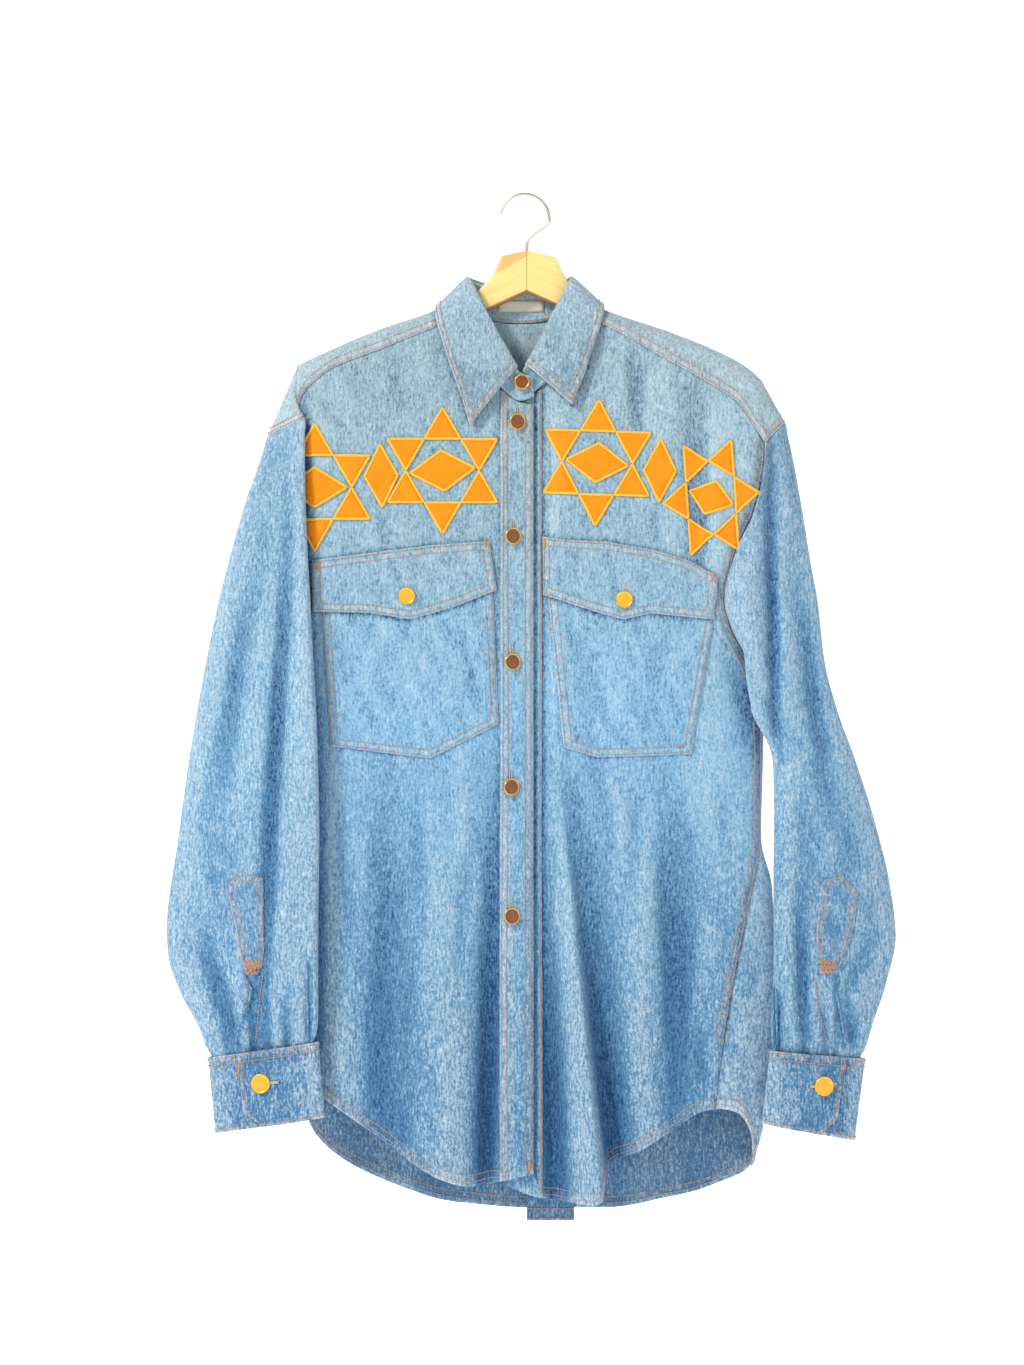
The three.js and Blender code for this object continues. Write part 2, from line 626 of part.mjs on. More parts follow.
// Sleeves
const sleeves = {
  left: {
    rows: leftSleeveRows, folds: leftSleeveFolds, armhole: leftArmhole, backArmhole: leftBackArmhole,
    top: -222, underarm: -415, cuff: -811, startAngle: -32, pullReach: 0.09, outward: -1,
  },
  right: {
    rows: rightSleeveRows, folds: rightSleeveFolds, armhole: rightArmhole, backArmhole: rightBackArmhole,
    top: -226.5, underarm: -475, cuff: -815, startAngle: 4, pullReach: 0.2, outward: 1,
  },
};
const sleeveEndAngle = 306;
const seamAngle = -42; // where the sleeve's own seam runs below the underarm, behind the inner fold
const degree = Math.PI / 180;

function sleeveRing(side, angle, z) {
  const { rows, folds } = sleeves[side];
  const get = (column) => follow(rows, 'z', column, z);
  const share = (1 - Math.cos(angle)) / 2;
  const x = mix(get('inner'), get('outer'), share);
  const tilt = get('tilt') * (1 - 2 * share);
  const rounding = Math.abs(Math.sin(angle)) ** sleeveFlatness;
  const middle = mix(get('innerY'), get('outerY'), share);
  const y = Math.sin(angle) > 0
    ? middle - (get('front') + foldHeight(folds, x, z)) * rounding
    : middle + get('back') * rounding;
  return new THREE.Vector3(x, y, z + tilt);
}

// One row of a sleeve: from its front seam round the inner fold, the front, the outer fold and the back.
// Above the underarm its ends are drawn to the armhole, and below it they meet in the sleeve's own seam.
function sleeveRow(side, z, counts) {
  const { armhole, backArmhole, underarm, startAngle, top, pullReach, outward } = sleeves[side];
  const below = smooth(underarm + 50, underarm - 60, z);
  const from = mix(startAngle, seamAngle, below);
  const to = mix(sleeveEndAngle, 359 + seamAngle, below);
  const bounds = [from, Math.max(0, from + 14), 180, to];
  const hold = 1 - smooth(underarm, underarm - 70, z);
  const down = clamp((top - z) / (top - underarm), 0, 1);
  const seamZ = mix(armhole[0].z, underarm, down);
  const backZ = mix(backArmhole[0].z, underarm, down);
  const frontSeam = bodyPoint(placeOf(follow(armhole, 'z', 'x', seamZ), seamZ), seamZ);
  const backSeam = bodyPoint(follow(backArmhole, 'z', 's', backZ), backZ);
  frontSeam.x += outward * (seamGap + 0.5);
  frontSeam.y -= 1.2 * below;
  backSeam.x += outward * (seamGap + 0.5);
  backSeam.y += 1.2 * smooth(-300, underarm, z);
  const firstPull = frontSeam.sub(sleeveRing(side, from * degree, z)).multiplyScalar(hold);
  const lastPull = backSeam.sub(sleeveRing(side, to * degree, z)).multiplyScalar(hold);
  const row = [];
  counts.forEach((count, k) => {
    const line = [];
    for (let i = 0; i <= dense; i++) {
      const angle = mix(bounds[k], bounds[k + 1], i / dense);
      const share = (angle - from) / (to - from);
      const point = sleeveRing(side, angle * degree, z);
      point.addScaledVector(firstPull, 1 - smooth(0, pullReach, share));
      point.addScaledVector(lastPull, smooth(0.74, 1, share));
      line.push(point);
    }
    row.push(...evenly(line, count).slice(k ? 1 : 0));
  });
  return row;
}

const sleeveRows = 21;
function sleeveGrid(side) {
  const { top, cuff } = sleeves[side];
  const grid = [];
  for (let j = 0; j <= sleeveRows; j++) {
    // The last two rows are where the sleeve goes into its cuff
    const z = j > sleeveRows - 2 ? cuff + 11 * (sleeveRows - j) : mix(top, cuff + 14, j / (sleeveRows - 2));
    const row = sleeveRow(side, z, [2, 10, 7]);
    grid.push(side === 'left' ? row.reverse() : row);
  }
  return grid;
}
const sleeveGrids = { left: sleeveGrid('left'), right: sleeveGrid('right') };

// Each cuff is one band whose end laps over itself beside the button
const cuffs = {
  left: {
    name: 'cuff_right', inner: -197, outer: -302, innerLow: -191, outerLow: -295, innerY: -41, outerY: -24,
    topInner: -798.5, topOuter: -815, lowInner: -869.5, lowOuter: -886, lap: 0.276, button: [-251, -838.5],
  },
  right: {
    name: 'cuff_left', inner: 227, outer: 318, innerLow: 219, outerLow: 308, innerY: -42, outerY: -24,
    topInner: -806.6, topOuter: -816, lowInner: -875, lowOuter: -893, lap: 0.22, button: [277.4, -841],
  },
};
const cuffDepth = 9.5;
const cuffLap = 2.2; // how far the lapping end stands over the other one
function cuffPoint(side, angle, v, over) {
  const cuff = cuffs[side];
  const share = (1 - Math.cos(angle)) / 2;
  const rounding = Math.abs(Math.sin(angle)) ** sleeveFlatness;
  const x = mix(mix(cuff.inner, cuff.innerLow, v), mix(cuff.outer, cuff.outerLow, v), share);
  const z = mix(mix(cuff.topInner, cuff.topOuter, share), mix(cuff.lowInner, cuff.lowOuter, share), v);
  const reach = Math.sin(angle) > 0 ? -(cuffDepth + over) : cuffDepth;
  return new THREE.Vector3(x, mix(cuff.innerY, cuff.outerY, share) + reach * rounding, z - 0.8);
}
function cuffGrid(side) {
  const grid = [];
  for (const v of [0, 0.4, 0.76, 1]) {
    // From the lapping end over the front, round the inner fold, the back, the outer fold and under the lap
    const corner = 0.16 * clamp((v - 0.76) / 0.24, 0, 1);
    const start = Math.acos(1 - 2 * (1 - cuffs[side].lap - corner));
    const end = -2 * Math.PI + Math.acos(1 - 2 * (1 - cuffs[side].lap - 0.24));
    const bounds = [start, 0, -Math.PI, end];
    const row = [];
    [7, 7, 4].forEach((count, k) => {
      const line = [];
      for (let i = 0; i <= dense; i++) {
        const angle = mix(bounds[k], bounds[k + 1], i / dense);
        const over = k === 0 ? cuffLap * smooth(0.3, 1.2, angle) : -1.4 * smooth(0, 0.5, i / dense) * (k === 2);
        line.push(cuffPoint(side, angle, v, over));
      }
      row.push(...evenly(line, count).slice(k ? 1 : 0));
    });
    grid.push(side === 'left' ? row : row.reverse());
  }
  return grid;
}
const cuffGrids = { left: cuffGrid('left'), right: cuffGrid('right') };

// The yoke runs over both shoulders and round the back of the neck.
// Its lines start on the fronts' upper edges, go over the crest and end at the back seam.
const yokeFront = 3; // cells in front of the crest
const yokeBack = 6; // cells behind it
const capGap = 1.1; // between its ends and the sleeves
const cornerGap = 1.2; // added to that at the sleeves' inner front corners
function behindCrest(crestX, crestZ, backX, from) {
  const line = [];
  for (let i = 0; i <= dense; i++) {
    const z = mix(from, backYokeSeam, (i / dense) ** 1.6);
    const d = Math.max(crestZ - z, 0);
    const x = mix(crestX, backX, smooth(0, 1, d / (crestZ - backYokeSeam)));
    const full = bodyPoint(2 - placeOf(x, z), z).y - shoulderForward(x, z);
    const rounding = d < yokeRound ? Math.sqrt(1 - (1 - d / yokeRound) ** 2) : 1;
    line.push(new THREE.Vector3(x, shoulderForward(x, z) + full * rounding, z));
  }
  return line;
}

function shoulderLine(start, frontShare = 1) {
  const crestX = follow(crestRows, 'start', 'x', start.x);
  const crestZ = follow(crestRows, 'start', 'z', start.x);
  const backX = follow(crestRows, 'start', 'backX', start.x);
  const drop = crestZ - start.z;
  const depth = start.y - shoulderForward(start.x, start.z);
  const line = [];
  for (let i = 0; i <= dense; i++) {
    const angle = mix((Math.PI / 2) * frontShare, 0, i / dense);
    const x = mix(crestX, start.x, 1 - Math.cos(angle));
    const z = crestZ - drop * (1 - Math.cos(angle));
    line.push(new THREE.Vector3(x, shoulderForward(x, z) + depth * Math.sin(angle), z));
  }
  const behind = behindCrest(crestX, crestZ, backX, crestZ);
  const split = behind.findIndex((p) => p.z < crestZ - 20);
  const round = evenly(behind.slice(0, split + 1), yokeBack / 2).slice(1);
  return [...evenly(line, yokeFront), ...round, ...evenly(behind.slice(split), yokeBack / 2).slice(1)];
}

function neckLine(share) {
  const x = neckMiddle.x + share * neckMiddle.halfWidth;
  const crestZ = share < 0 ? -97 - 4.3 * share ** 2 : -96;
  const neckZ = Math.min(neckMiddle.z + 19 * Math.abs(share) ** 2.4, crestZ);
  const line = behindCrest(x, crestZ, x, neckZ);
  const split = line.findIndex((p) => p.z < Math.min(crestZ - 20, neckZ - 9));
  const edge = line.findIndex((p) => p.z < neckZ - 2);
  return [
    ...evenly(line.slice(0, edge + 1), yokeFront),
    ...evenly(line.slice(edge, split + 1), yokeBack / 2).slice(1),
    ...evenly(line.slice(split), yokeBack / 2).slice(1),
  ];
}

function yokeGrid() {
  const up = new THREE.Vector3(0, 0, seamGap + 0.1);
  const starts = (grid, keep) => grid[0].filter((p) => keep(p.x)).map((p) => p.clone().add(up));
  const lines = [
    ...starts(rightFrontGrid, (x) => x < -68).map((p) => shoulderLine(p)),
    shoulderLine(new THREE.Vector3(-70.7, -15, -121), 0.32),
    ...[-1.06, -0.98, -0.8, -0.4, 0, 0.4, 0.8, 0.98, 1.06].map(neckLine),
    shoulderLine(new THREE.Vector3(59, -15, -119), 0.32),
    ...starts(leftFrontGrid, (x) => x > 60 && x < 219).map((p) => shoulderLine(p)),
  ];
  // Its ends keep clear of the sleeves' upper edges, square to the seam
  const capOf = (side) => {
    const counts = [1, 2, 6];
    const row = sleeveRow(side, sleeves[side].top, counts);
    return row.map((p, i) => {
      const along = row[Math.min(i + 1, row.length - 1)].clone().sub(row[Math.max(i - 1, 0)]).normalize();
      const away = new THREE.Vector3(0, 0, 1).addScaledVector(along, -along.z).normalize();
      return p.clone().addScaledVector(away, capGap + (i === 1 ? cornerGap : 0));
    });
  };
  const leftCap = capOf('left');
  const rightCap = capOf('right');
  const between = (cap, line) => cap.map((p, i) => mixPoints(p, line[i], 0.5));
  const all = [
    leftCap,
    between(leftCap, lines[0]),
    ...lines,
    between(rightCap, lines[lines.length - 1]),
    rightCap,
  ];
  // Seen from outside and above, the wall's rows run from the right shoulder to the left one
  const grid = [];
  for (let j = yokeFront + yokeBack; j >= 0; j--) grid.push(all.map((line) => line[j]));
  return grid;
}

// Placket and the button band below it
const placketStart = rightFrontGrid[0].findIndex((p) => Math.abs(p.x - placketLeft) < 0.01);
const placketGrid = rightFrontGrid.map((row) => {
  const z = row[row.length - 1].z;
  return [...row.slice(placketStart), onSurface(rightFrontSurface, placeOf(placketRight, z), z)];
});
const bandGrid = leftFrontGrid.map((row) => row.slice(0, 4));

// Pockets and their flaps, as outlines seen from the front
const pocketOutlines = {
  pocket_right: [[-197, -366], [-186.3, -522.5], [-92.4, -533.9], [-27.6, -501.3], [-30.5, -430], [-34, -352]],
  pocket_left: [[16, -350], [33.3, -523.5], [65.6, -533], [153.9, -530], [175, -407], [172, -380]],
};
const flapOutlines = {
  flap_right: [
    [-203, -346.8], [-203, -395.2], [-150, -396.5], [-110.6, -402.8], [-70, -391],
    [-29.5, -374.9], [-36.4, -328.7], [-90, -332.5], [-150, -340],
  ],
  flap_left: [
    [13.8, -324], [13.8, -379], [40, -388], [68.4, -397], [90, -402.8], [116, -397],
    [174.8, -402.8], [179.8, -362], [150.4, -346.7], [117.6, -336.9], [74, -329.2], [30.4, -327],
  ],
};
const onCloth = layGap + patchCloth; // height of the outer side of a piece that lies on a panel
const flapRoom = layGap + onCloth; // height of a flap's inner side over its pocket

// The star motif: six-pointed stars with a lozenge inside, and an upright lozenge between two of them
const tip = (angle, radius, turn, squeeze) =>
  [Math.cos((angle + turn) * degree) * radius * squeeze, Math.sin((angle + turn) * degree) * radius];
const place = ({ x, z }, points) => points.map(([a, b]) => [x + a, z + b]);
function starOutline(star) {
  const points = [];
  for (let k = 0; k < 12; k++) {
    const radius = k % 2 ? starRadius / Math.sqrt(3) : starRadius;
    points.push(tip(90 + 30 * k, radius, star.turn, star.squeeze));
  }
  return place(star, points);
}
function starHole(star) {
  const points = [];
  for (let k = 0; k < 6; k++) {
    points.push(tip(120 + 60 * k, (starRadius / Math.sqrt(3)) * 0.93, star.turn, star.squeeze));
  }
  return place(star, points);
}
const lozenge = (at, halfX, halfZ, turn) =>
  place(at, [[halfX, 0], [0, halfZ], [-halfX, 0], [0, -halfZ]].map(([a, b]) => [
    a * Math.cos(turn * degree) - b * Math.sin(turn * degree),
    a * Math.sin(turn * degree) + b * Math.cos(turn * degree),
  ]));
const stars = [
  { name: 'side_right', grid: rightFrontGrid, x: -201, z: -278, turn: 0, squeeze: 1, inner: [30, 18.5, 0] },
  { name: 'right', grid: rightFrontGrid, x: -80.8, z: -262, turn: 0, squeeze: 1, inner: [30.6, 19, 5] },
  { name: 'left', grid: leftFrontGrid, x: 65.4, z: -254.5, turn: -2, squeeze: 0.96, inner: [29.3, 18.5, -6] },
  { name: 'side_left', grid: leftFrontGrid, x: 172.5, z: -288, turn: -25, squeeze: 0.75, inner: [20, 19, -30] },
];
const uprights = [
  { name: 'right', grid: rightFrontGrid, x: -138.7, z: -267, halfX: 15.5, halfZ: 29.5, turn: 2 },
  { name: 'left', grid: leftFrontGrid, x: 124.5, z: -262, halfX: 15, halfZ: 29.5, turn: -2 },
];

// The flaps of the sleeves' openings, as outlines seen from the front
const sleevePatches = {
  left: [
    [-283.4, -653.8], [-269.6, -640.5], [-248.9, -645.8], [-247.7, -716], [-250, -729.8],
    [-263.8, -734.4], [-269.6, -720.6], [-275, -690],
  ],
  right: [
    [274.6, -652.7], [278.7, -647.4], [295.3, -644.1], [310.7, -658.7], [305.5, -695.8],
    [290, -734.9], [269.5, -734.9], [270.5, -695.8],
  ],
};

// The collar by its places from the wearer's right front end round the neck to the left one:
// roll is its folded upper edge and edge its free outer edge
const collarRows = [
  { rollX: -9.2, rollY: -21.5, rollZ: -163.7, edgeX: -55, edgeY: -25, edgeZ: -219.5 },
  { rollX: -22, rollY: -21, rollZ: -141, edgeX: -63, edgeY: -23.5, edgeZ: -193 },
  { rollX: -39, rollY: -19, rollZ: -110.2, edgeX: -71.5, edgeY: -22.5, edgeZ: -169 },
  { rollX: -49, rollY: -16, rollZ: -90, edgeX: -80, edgeY: -21.5, edgeZ: -143 },
  { rollX: -55, rollY: -10.5, rollZ: -79, edgeX: -86.5, edgeY: -19, edgeZ: -120 },
  { rollX: -56.5, rollY: -5, rollZ: -77, edgeX: -88, edgeY: -12.5, edgeZ: -111 },
  { rollX: -57, rollY: 0, rollZ: -76, edgeX: -88, edgeY: -3, edgeZ: -105.4 },
  { rollX: -55.5, rollY: 5, rollZ: -76.7, edgeX: -87, edgeY: 8, edgeZ: -108.5 },
  { rollX: -51.5, rollY: 8.5, rollZ: -78, edgeX: -83.5, edgeY: 16, edgeZ: -119 },
  { rollX: -45, rollY: 11, rollZ: -80, edgeX: -74, edgeY: 18.5, edgeZ: -131 },
  { rollX: -28, rollY: 14, rollZ: -84, edgeX: -44, edgeY: 20, edgeZ: -141 },
  { rollX: -7, rollY: 15, rollZ: -86, edgeX: -7, edgeY: 21, edgeZ: -144 },
  { rollX: 14, rollY: 14, rollZ: -84, edgeX: 30, edgeY: 20, edgeZ: -141 },
  { rollX: 30, rollY: 11, rollZ: -80, edgeX: 59, edgeY: 18.5, edgeZ: -131 },
  { rollX: 35.5, rollY: 8.5, rollZ: -78, edgeX: 68.5, edgeY: 16, edgeZ: -118.5 },
  { rollX: 39.5, rollY: 5, rollZ: -76.5, edgeX: 72, edgeY: 8, edgeZ: -108 },
  { rollX: 41, rollY: 0, rollZ: -75.5, edgeX: 72.5, edgeY: -3, edgeZ: -103.8 },
  { rollX: 40.5, rollY: -5, rollZ: -77.5, edgeX: 72.5, edgeY: -12.5, edgeZ: -108.8 },
  { rollX: 38.5, rollY: -10.5, rollZ: -81, edgeX: 70, edgeY: -19, edgeZ: -119.5 },
  { rollX: 30, rollY: -16, rollZ: -99, edgeX: 62, edgeY: -21.5, edgeZ: -144 },
  { rollX: 17, rollY: -19, rollZ: -125, edgeX: 54, edgeY: -22.5, edgeZ: -169 },
  { rollX: 4, rollY: -21, rollZ: -149, edgeX: 46, edgeY: -23.5, edgeZ: -189 },
  { rollX: -2.9, rollY: -21.5, rollZ: -161.5, edgeX: 41.5, edgeY: -25, edgeZ: -200 },
];
const collarBulge = 2.6; // how far the fall stands off between its roll and its edge
function collarGrid() {
  const shares = [0, 0.08, 0.3, 0.65, 1];
  const lines = collarRows.map((row) => {
    const roll = new THREE.Vector3(row.rollX, row.rollY, row.rollZ);
    const edge = new THREE.Vector3(row.edgeX, row.edgeY, row.edgeZ);
    const away = new THREE.Vector3(edge.x - roll.x, 0, 0).normalize().multiplyScalar(0.3);
    away.y = clamp(row.rollY / 8, -1, 1);
    return shares.map((v) => mixPoints(roll, edge, v).addScaledVector(away, collarBulge * Math.sin(Math.PI * v ** 0.6)));
  });
  return shares.map((_, j) => lines.map((line) => line[j]).reverse());
}

// The collar's stand, from the tab with the top button round the neck to the end below it
const standRows = [
  { x: 6, y: -16.6, z: -192, topX: 4.5, topY: -18.3, topZ: -173 },
  { x: -8, y: -16.6, z: -195.8, topX: -7, topY: -19.3, topZ: -169.5 },
  { x: -28, y: -16.3, z: -180.8, topX: -21, topY: -18.3, topZ: -144 },
  { x: -46, y: -16, z: -157, topX: -37, topY: -16.4, topZ: -113.5 },
  { x: -61, y: -15.5, z: -133, topX: -46.5, topY: -13.5, topZ: -93.5 },
  { x: -69.3, y: -14.2, z: -119.8, topX: -52.3, topY: -9, topZ: -83 },
  { x: -69, y: -7.8, z: -103.2, topX: -53.5, topY: -4.5, topZ: -81 },
  { x: -68.5, y: 0, z: -99, topX: -54, topY: 0, topZ: -80 },
  { x: -64.5, y: 7.5, z: -100.5, topX: -51, topY: 6, topZ: -80.8 },
  { x: -54, y: 8.6, z: -107.8, topX: -44, topY: 9, topZ: -83 },
  { x: -34, y: 9.5, z: -117.5, topX: -27, topY: 11, topZ: -87.5 },
  { x: -7, y: 10.8, z: -120.3, topX: -7, topY: 12, topZ: -89.5 },
  { x: 20, y: 9.5, z: -117.5, topX: 13, topY: 11, topZ: -87.5 },
  { x: 40, y: 8.6, z: -107.8, topX: 28, topY: 9, topZ: -83 },
  { x: 50.5, y: 7.8, z: -99.8, topX: 36, topY: 7, topZ: -79.6 },
  { x: 55, y: 0, z: -95.5, topX: 39.4, topY: 0.5, topZ: -79 },
  { x: 56, y: -7.8, z: -100.3, topX: 39.3, topY: -5, topZ: -82 },
  { x: 57.5, y: -14.2, z: -117.3, topX: 37.3, topY: -9.5, topZ: -86 },
  { x: 49, y: -15.5, z: -133, topX: 28, topY: -13.5, topZ: -102.5 },
  { x: 32.5, y: -15.5, z: -156.5, topX: 15, topY: -16.4, topZ: -128.5 },
  { x: 13, y: -13.6, z: -181, topX: 3, topY: -16.2, topZ: -152 },
  { x: -6, y: -12.4, z: -195, topX: -6, topY: -15.2, topZ: -168 },
];
function standGrid() {
  return [1, 0.5, 0].map((v) => standRows.map((row) => new THREE.Vector3(
    mix(row.x, row.topX, v),
    mix(row.y, row.topY, v),
    mix(row.z, row.topZ, v),
  )).reverse());
}

// The blank label inside the back of the stand
const labelRows = [
  { x: -28.5, y: 7.9 },
  { x: -7, y: 9.1 },
  { x: 15.2, y: 7.9 },
];
const labelTop = -98.8;
const labelBottom = -109.2;
const labelGrid = [labelTop, labelBottom].map((z) => labelRows.map(({ x, y }) => new THREE.Vector3(x, y, z)));

// The wooden hanger: its upper and lower edge from one arm's end to the other
const woodRows = [
  { x: -214, top: -167.5, bottom: -184 },
  { x: -188, top: -151.5, bottom: -175 },
  { x: -140, top: -130.8, bottom: -158 },
  { x: -100, top: -118, bottom: -147 },
  { x: -84, top: -114.5, bottom: -141 },
  { x: -70, top: -110.5, bottom: -132 },
  { x: -60, top: -106.5, bottom: -124 },
  { x: -53, top: -99, bottom: -118 },
  { x: -47.8, top: -90.8, bottom: -115 },
  { x: -39.6, top: -82, bottom: -110.2 },
  { x: -32.3, top: -74.1, bottom: -107 },
  { x: -24.9, top: -57, bottom: -103.3 },
  { x: -1.1, top: -52, bottom: -92.2 },
  { x: 26.6, top: -58.5, bottom: -104.8 },
  { x: 34.2, top: -75, bottom: -108.3 },
  { x: 41.5, top: -86.5, bottom: -112 },
  { x: 46.5, top: -94.5, bottom: -115 },
  { x: 52, top: -104, bottom: -119 },
  { x: 60, top: -109.5, bottom: -125 },
  { x: 72, top: -114.5, bottom: -134 },
  { x: 84, top: -118.5, bottom: -140 },
  { x: 131, top: -132.5, bottom: -157 },
  { x: 190, top: -158.5, bottom: -178 },
  { x: 205, top: -169.5, bottom: -186 },
];
const woodSection = [[-0.4, 0], [-1, 0.2], [-1, 0.8], [-0.35, 1], [0.35, 1], [1, 0.8], [1, 0.2], [0.4, 0]];
function woodSolid() {
  const rounding = 4; // how far from its upper and lower edge the wood reaches its full thickness
  const positions = [];
  const index = [];
  const n = woodSection.length;
  woodRows.forEach(({ x, top, bottom }) => {
    const middle = -hangerForward * clamp(Math.abs(x) / hangerReach, 0, 1.05) ** 2;
    woodSection.forEach(([across, up]) => {
      const z = up < 0.5 ? bottom + up * 5 * rounding : top - (1 - up) * 5 * rounding;
      positions.push(x, middle + (across * mix(woodThickness, woodEnd, Math.abs(x) / hangerReach)) / 2, z);
    });
  });
  for (let i = 0; i < woodRows.length - 1; i++) {
    for (let k = 0; k < n; k++) {
      const a = i * n + k;
      const b = i * n + ((k + 1) % n);
      index.push(a, a + n, b + n, a, b + n, b);
    }
  }
  const last = (woodRows.length - 1) * n;
  for (let k = 1; k < n - 1; k++) {
    index.push(0, k, k + 1);
    index.push(last, last + k + 1, last + k);
  }
  const geometry = new THREE.BufferGeometry();
  geometry.setAttribute('position', new THREE.Float32BufferAttribute(positions, 3));
  geometry.setIndex(index);
  const hole = new THREE.CylinderGeometry(wireRadius + 0.4, wireRadius + 0.4, 24, 12);
  hole.rotateX(Math.PI / 2);
  hole.translate(hookStem, 0, -52);
  return geometryOf(solidOf(geometry).subtract(solidOf(hole)));
}

// The wire hook turns about the point below its crest
const hookStem = -1;
const hookCentre = { x: -crestShift, z: -21.6 };
const hookRadius = 21.6 + wireRadius;
function hookGeometry() {
  const points = [
    [hookStem, -63], [hookStem, -58], [hookStem, -52], [hookStem, -46], [hookStem + 1.2, -41.5],
    [hookStem + 6, -36.8], [hookStem + 13, -32],
  ];
  for (let degrees = -10; degrees <= 166; degrees += 11) {
    points.push([
      hookCentre.x + hookRadius * Math.cos(degrees * degree),
      hookCentre.z + hookRadius * Math.sin(degrees * degree),
    ]);
  }
  const path = new THREE.CatmullRomCurve3(points.map(([x, z]) => new THREE.Vector3(x, 0, z)), false, 'centripetal');
  const section = new THREE.Shape();
  section.absarc(0, 0, wireRadius, 0, 2 * Math.PI, false);
  return new THREE.ExtrudeGeometry(section, { steps: 26, curveSegments: 4, bevelEnabled: false, extrudePath: path });
}

// A shallow disc with a rim, its back on the origin and its face towards -Y
function buttonGeometry(radius) {
  const profile = [
    [0, 0], [radius - 0.8, 0], [radius, 0.9], [radius - 0.3, 2.3], [radius - 1.6, 2.1], [0, 2.4],
  ];
  const geometry = new THREE.LatheGeometry(profile.map(([x, y]) => new THREE.Vector2(x, y)), 12);
  return geometry.rotateX(Math.PI);
}
const buttons = [
  { name: 'button_1', x: -6, z: -178, tilt: 8, larger: -0.6 },
  { name: 'button_2', x: -10.5, z: -215.7, tilt: 12 },
  { name: 'button_3', x: -14.7, z: -324, tilt: 12 },
  { name: 'button_4', x: -15.2, z: -442.7, tilt: 10 },
  { name: 'button_5', x: -16.2, z: -560.5, tilt: 10 },
  { name: 'button_6', x: -15.7, z: -682, tilt: 8 },
  { name: 'pocket_button_right', x: -114.5, z: -380.5, tilt: 0 },
  { name: 'pocket_button_left', x: 90.7, z: -383.8, tilt: 0 },
  { name: 'cuff_button_right', x: -251, z: -838.5, tilt: 0, lean: -9.2, larger: 1.2 },
  { name: 'cuff_button_left', x: 277.4, z: -841, tilt: 0, lean: 11.2, larger: 1.2 },
];
// tilt turns a button out of the cloth's plane and lean turns it with the cloth
const buttonGap = 0.6;
const clothUnder = {
  button_1: () => -18.1,
  pocket_button_right: (x, z) => bodyPoint(placeOf(x, z), z).y - flapRoom - patchCloth,
  pocket_button_left: (x, z) => bodyPoint(placeOf(x, z), z).y - flapRoom - patchCloth,
  cuff_button_right: (x) => cuffPoint('left', Math.acos(1 - 2 * ((x + 194.5) / -104)), 0.5, cuffLap).y,
  cuff_button_left: (x) => cuffPoint('right', Math.acos(1 - 2 * ((x - 223) / 90)), 0.5, cuffLap).y,
};
function buttonOn({ name, x, z, tilt, lean = 0, larger = 0 }) {
  const onPlacket = (bx, bz) => bodyPoint(placeOf(bx, bz), bz).y - onCloth;
  const surface = (clothUnder[name] || onPlacket)(x, z);
  const geometry = buttonGeometry(buttonRadius + larger);
  geometry.rotateZ((tilt + lean) * degree);
  const lift = buttonGap + Math.sin(tilt * degree) * buttonRadius;
  geometry.translate(x, surface - lift, z);
  return geometry;
}

// All the pieces
const panels = {
  front_right: wall(rightFrontGrid),
  front_left: wall(leftFrontGrid),
  back: wall(backGrid()),
  back_pleat: wall(pleatGrid(), 0, patchCloth),
  sleeve_right: wall(sleeveGrids.left),
  sleeve_left: wall(sleeveGrids.right),
  cuff_right: wall(cuffGrids.left),
  cuff_left: wall(cuffGrids.right),
  yoke: wall(yokeGrid()),
  placket: wall(placketGrid, onCloth, patchCloth),
  button_band: wall(bandGrid, onCloth - 0.1, patchCloth),
  collar: wall(collarGrid()),
  collar_stand: wall(standGrid()),
};
for (const [name, outline] of Object.entries(pocketOutlines)) {
  panels[name] = layOn(name === 'pocket_right' ? rightFrontGrid : leftFrontGrid, outline, layGap);
}
for (const [name, outline] of Object.entries(flapOutlines)) {
  panels[name] = layOn(name === 'flap_right' ? rightFrontGrid : leftFrontGrid, outline, flapRoom);
}
panels.sleeve_placket_right = layOn(sleeveGrids.left, sleevePatches.left, layGap, { behind: -27 });
panels.sleeve_placket_left = layOn(sleeveGrids.right, sleevePatches.right, layGap, { behind: -23 });
for (const [name, geometry] of Object.entries(panels)) add(name, geometry, colours.denim);

const sewnOn = { thick: 0.8, from: starsFrom };
for (const star of stars) {
  const ring = layOn(star.grid, starOutline(star), layGap, { ...sewnOn, hole: starHole(star) });
  add(`star_${star.name}`, ring, colours.orange);
  add(`lozenge_${star.name}`, layOn(star.grid, lozenge(star, ...star.inner), layGap, sewnOn), colours.orange);
}
for (const upright of uprights) {
  const outline = lozenge(upright, upright.halfX, upright.halfZ, upright.turn);
  add(`upright_lozenge_${upright.name}`, layOn(upright.grid, outline, layGap, sewnOn), colours.orange);
}
for (const button of buttons) add(button.name, buttonOn(button), colours.amber, 0.3, 0.6);
add('neck_label', wall(labelGrid, 0, 0.5), colours.label);
add('hanger_wood', woodSolid(), colours.wood, 0.5);
add('hanger_hook', hookGeometry(), colours.steel, 0.25, 1);

export default shirt;
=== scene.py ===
import bpy
import math
import numpy as np
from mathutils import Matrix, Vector
from mathutils.geometry import delaunay_2d_cdt


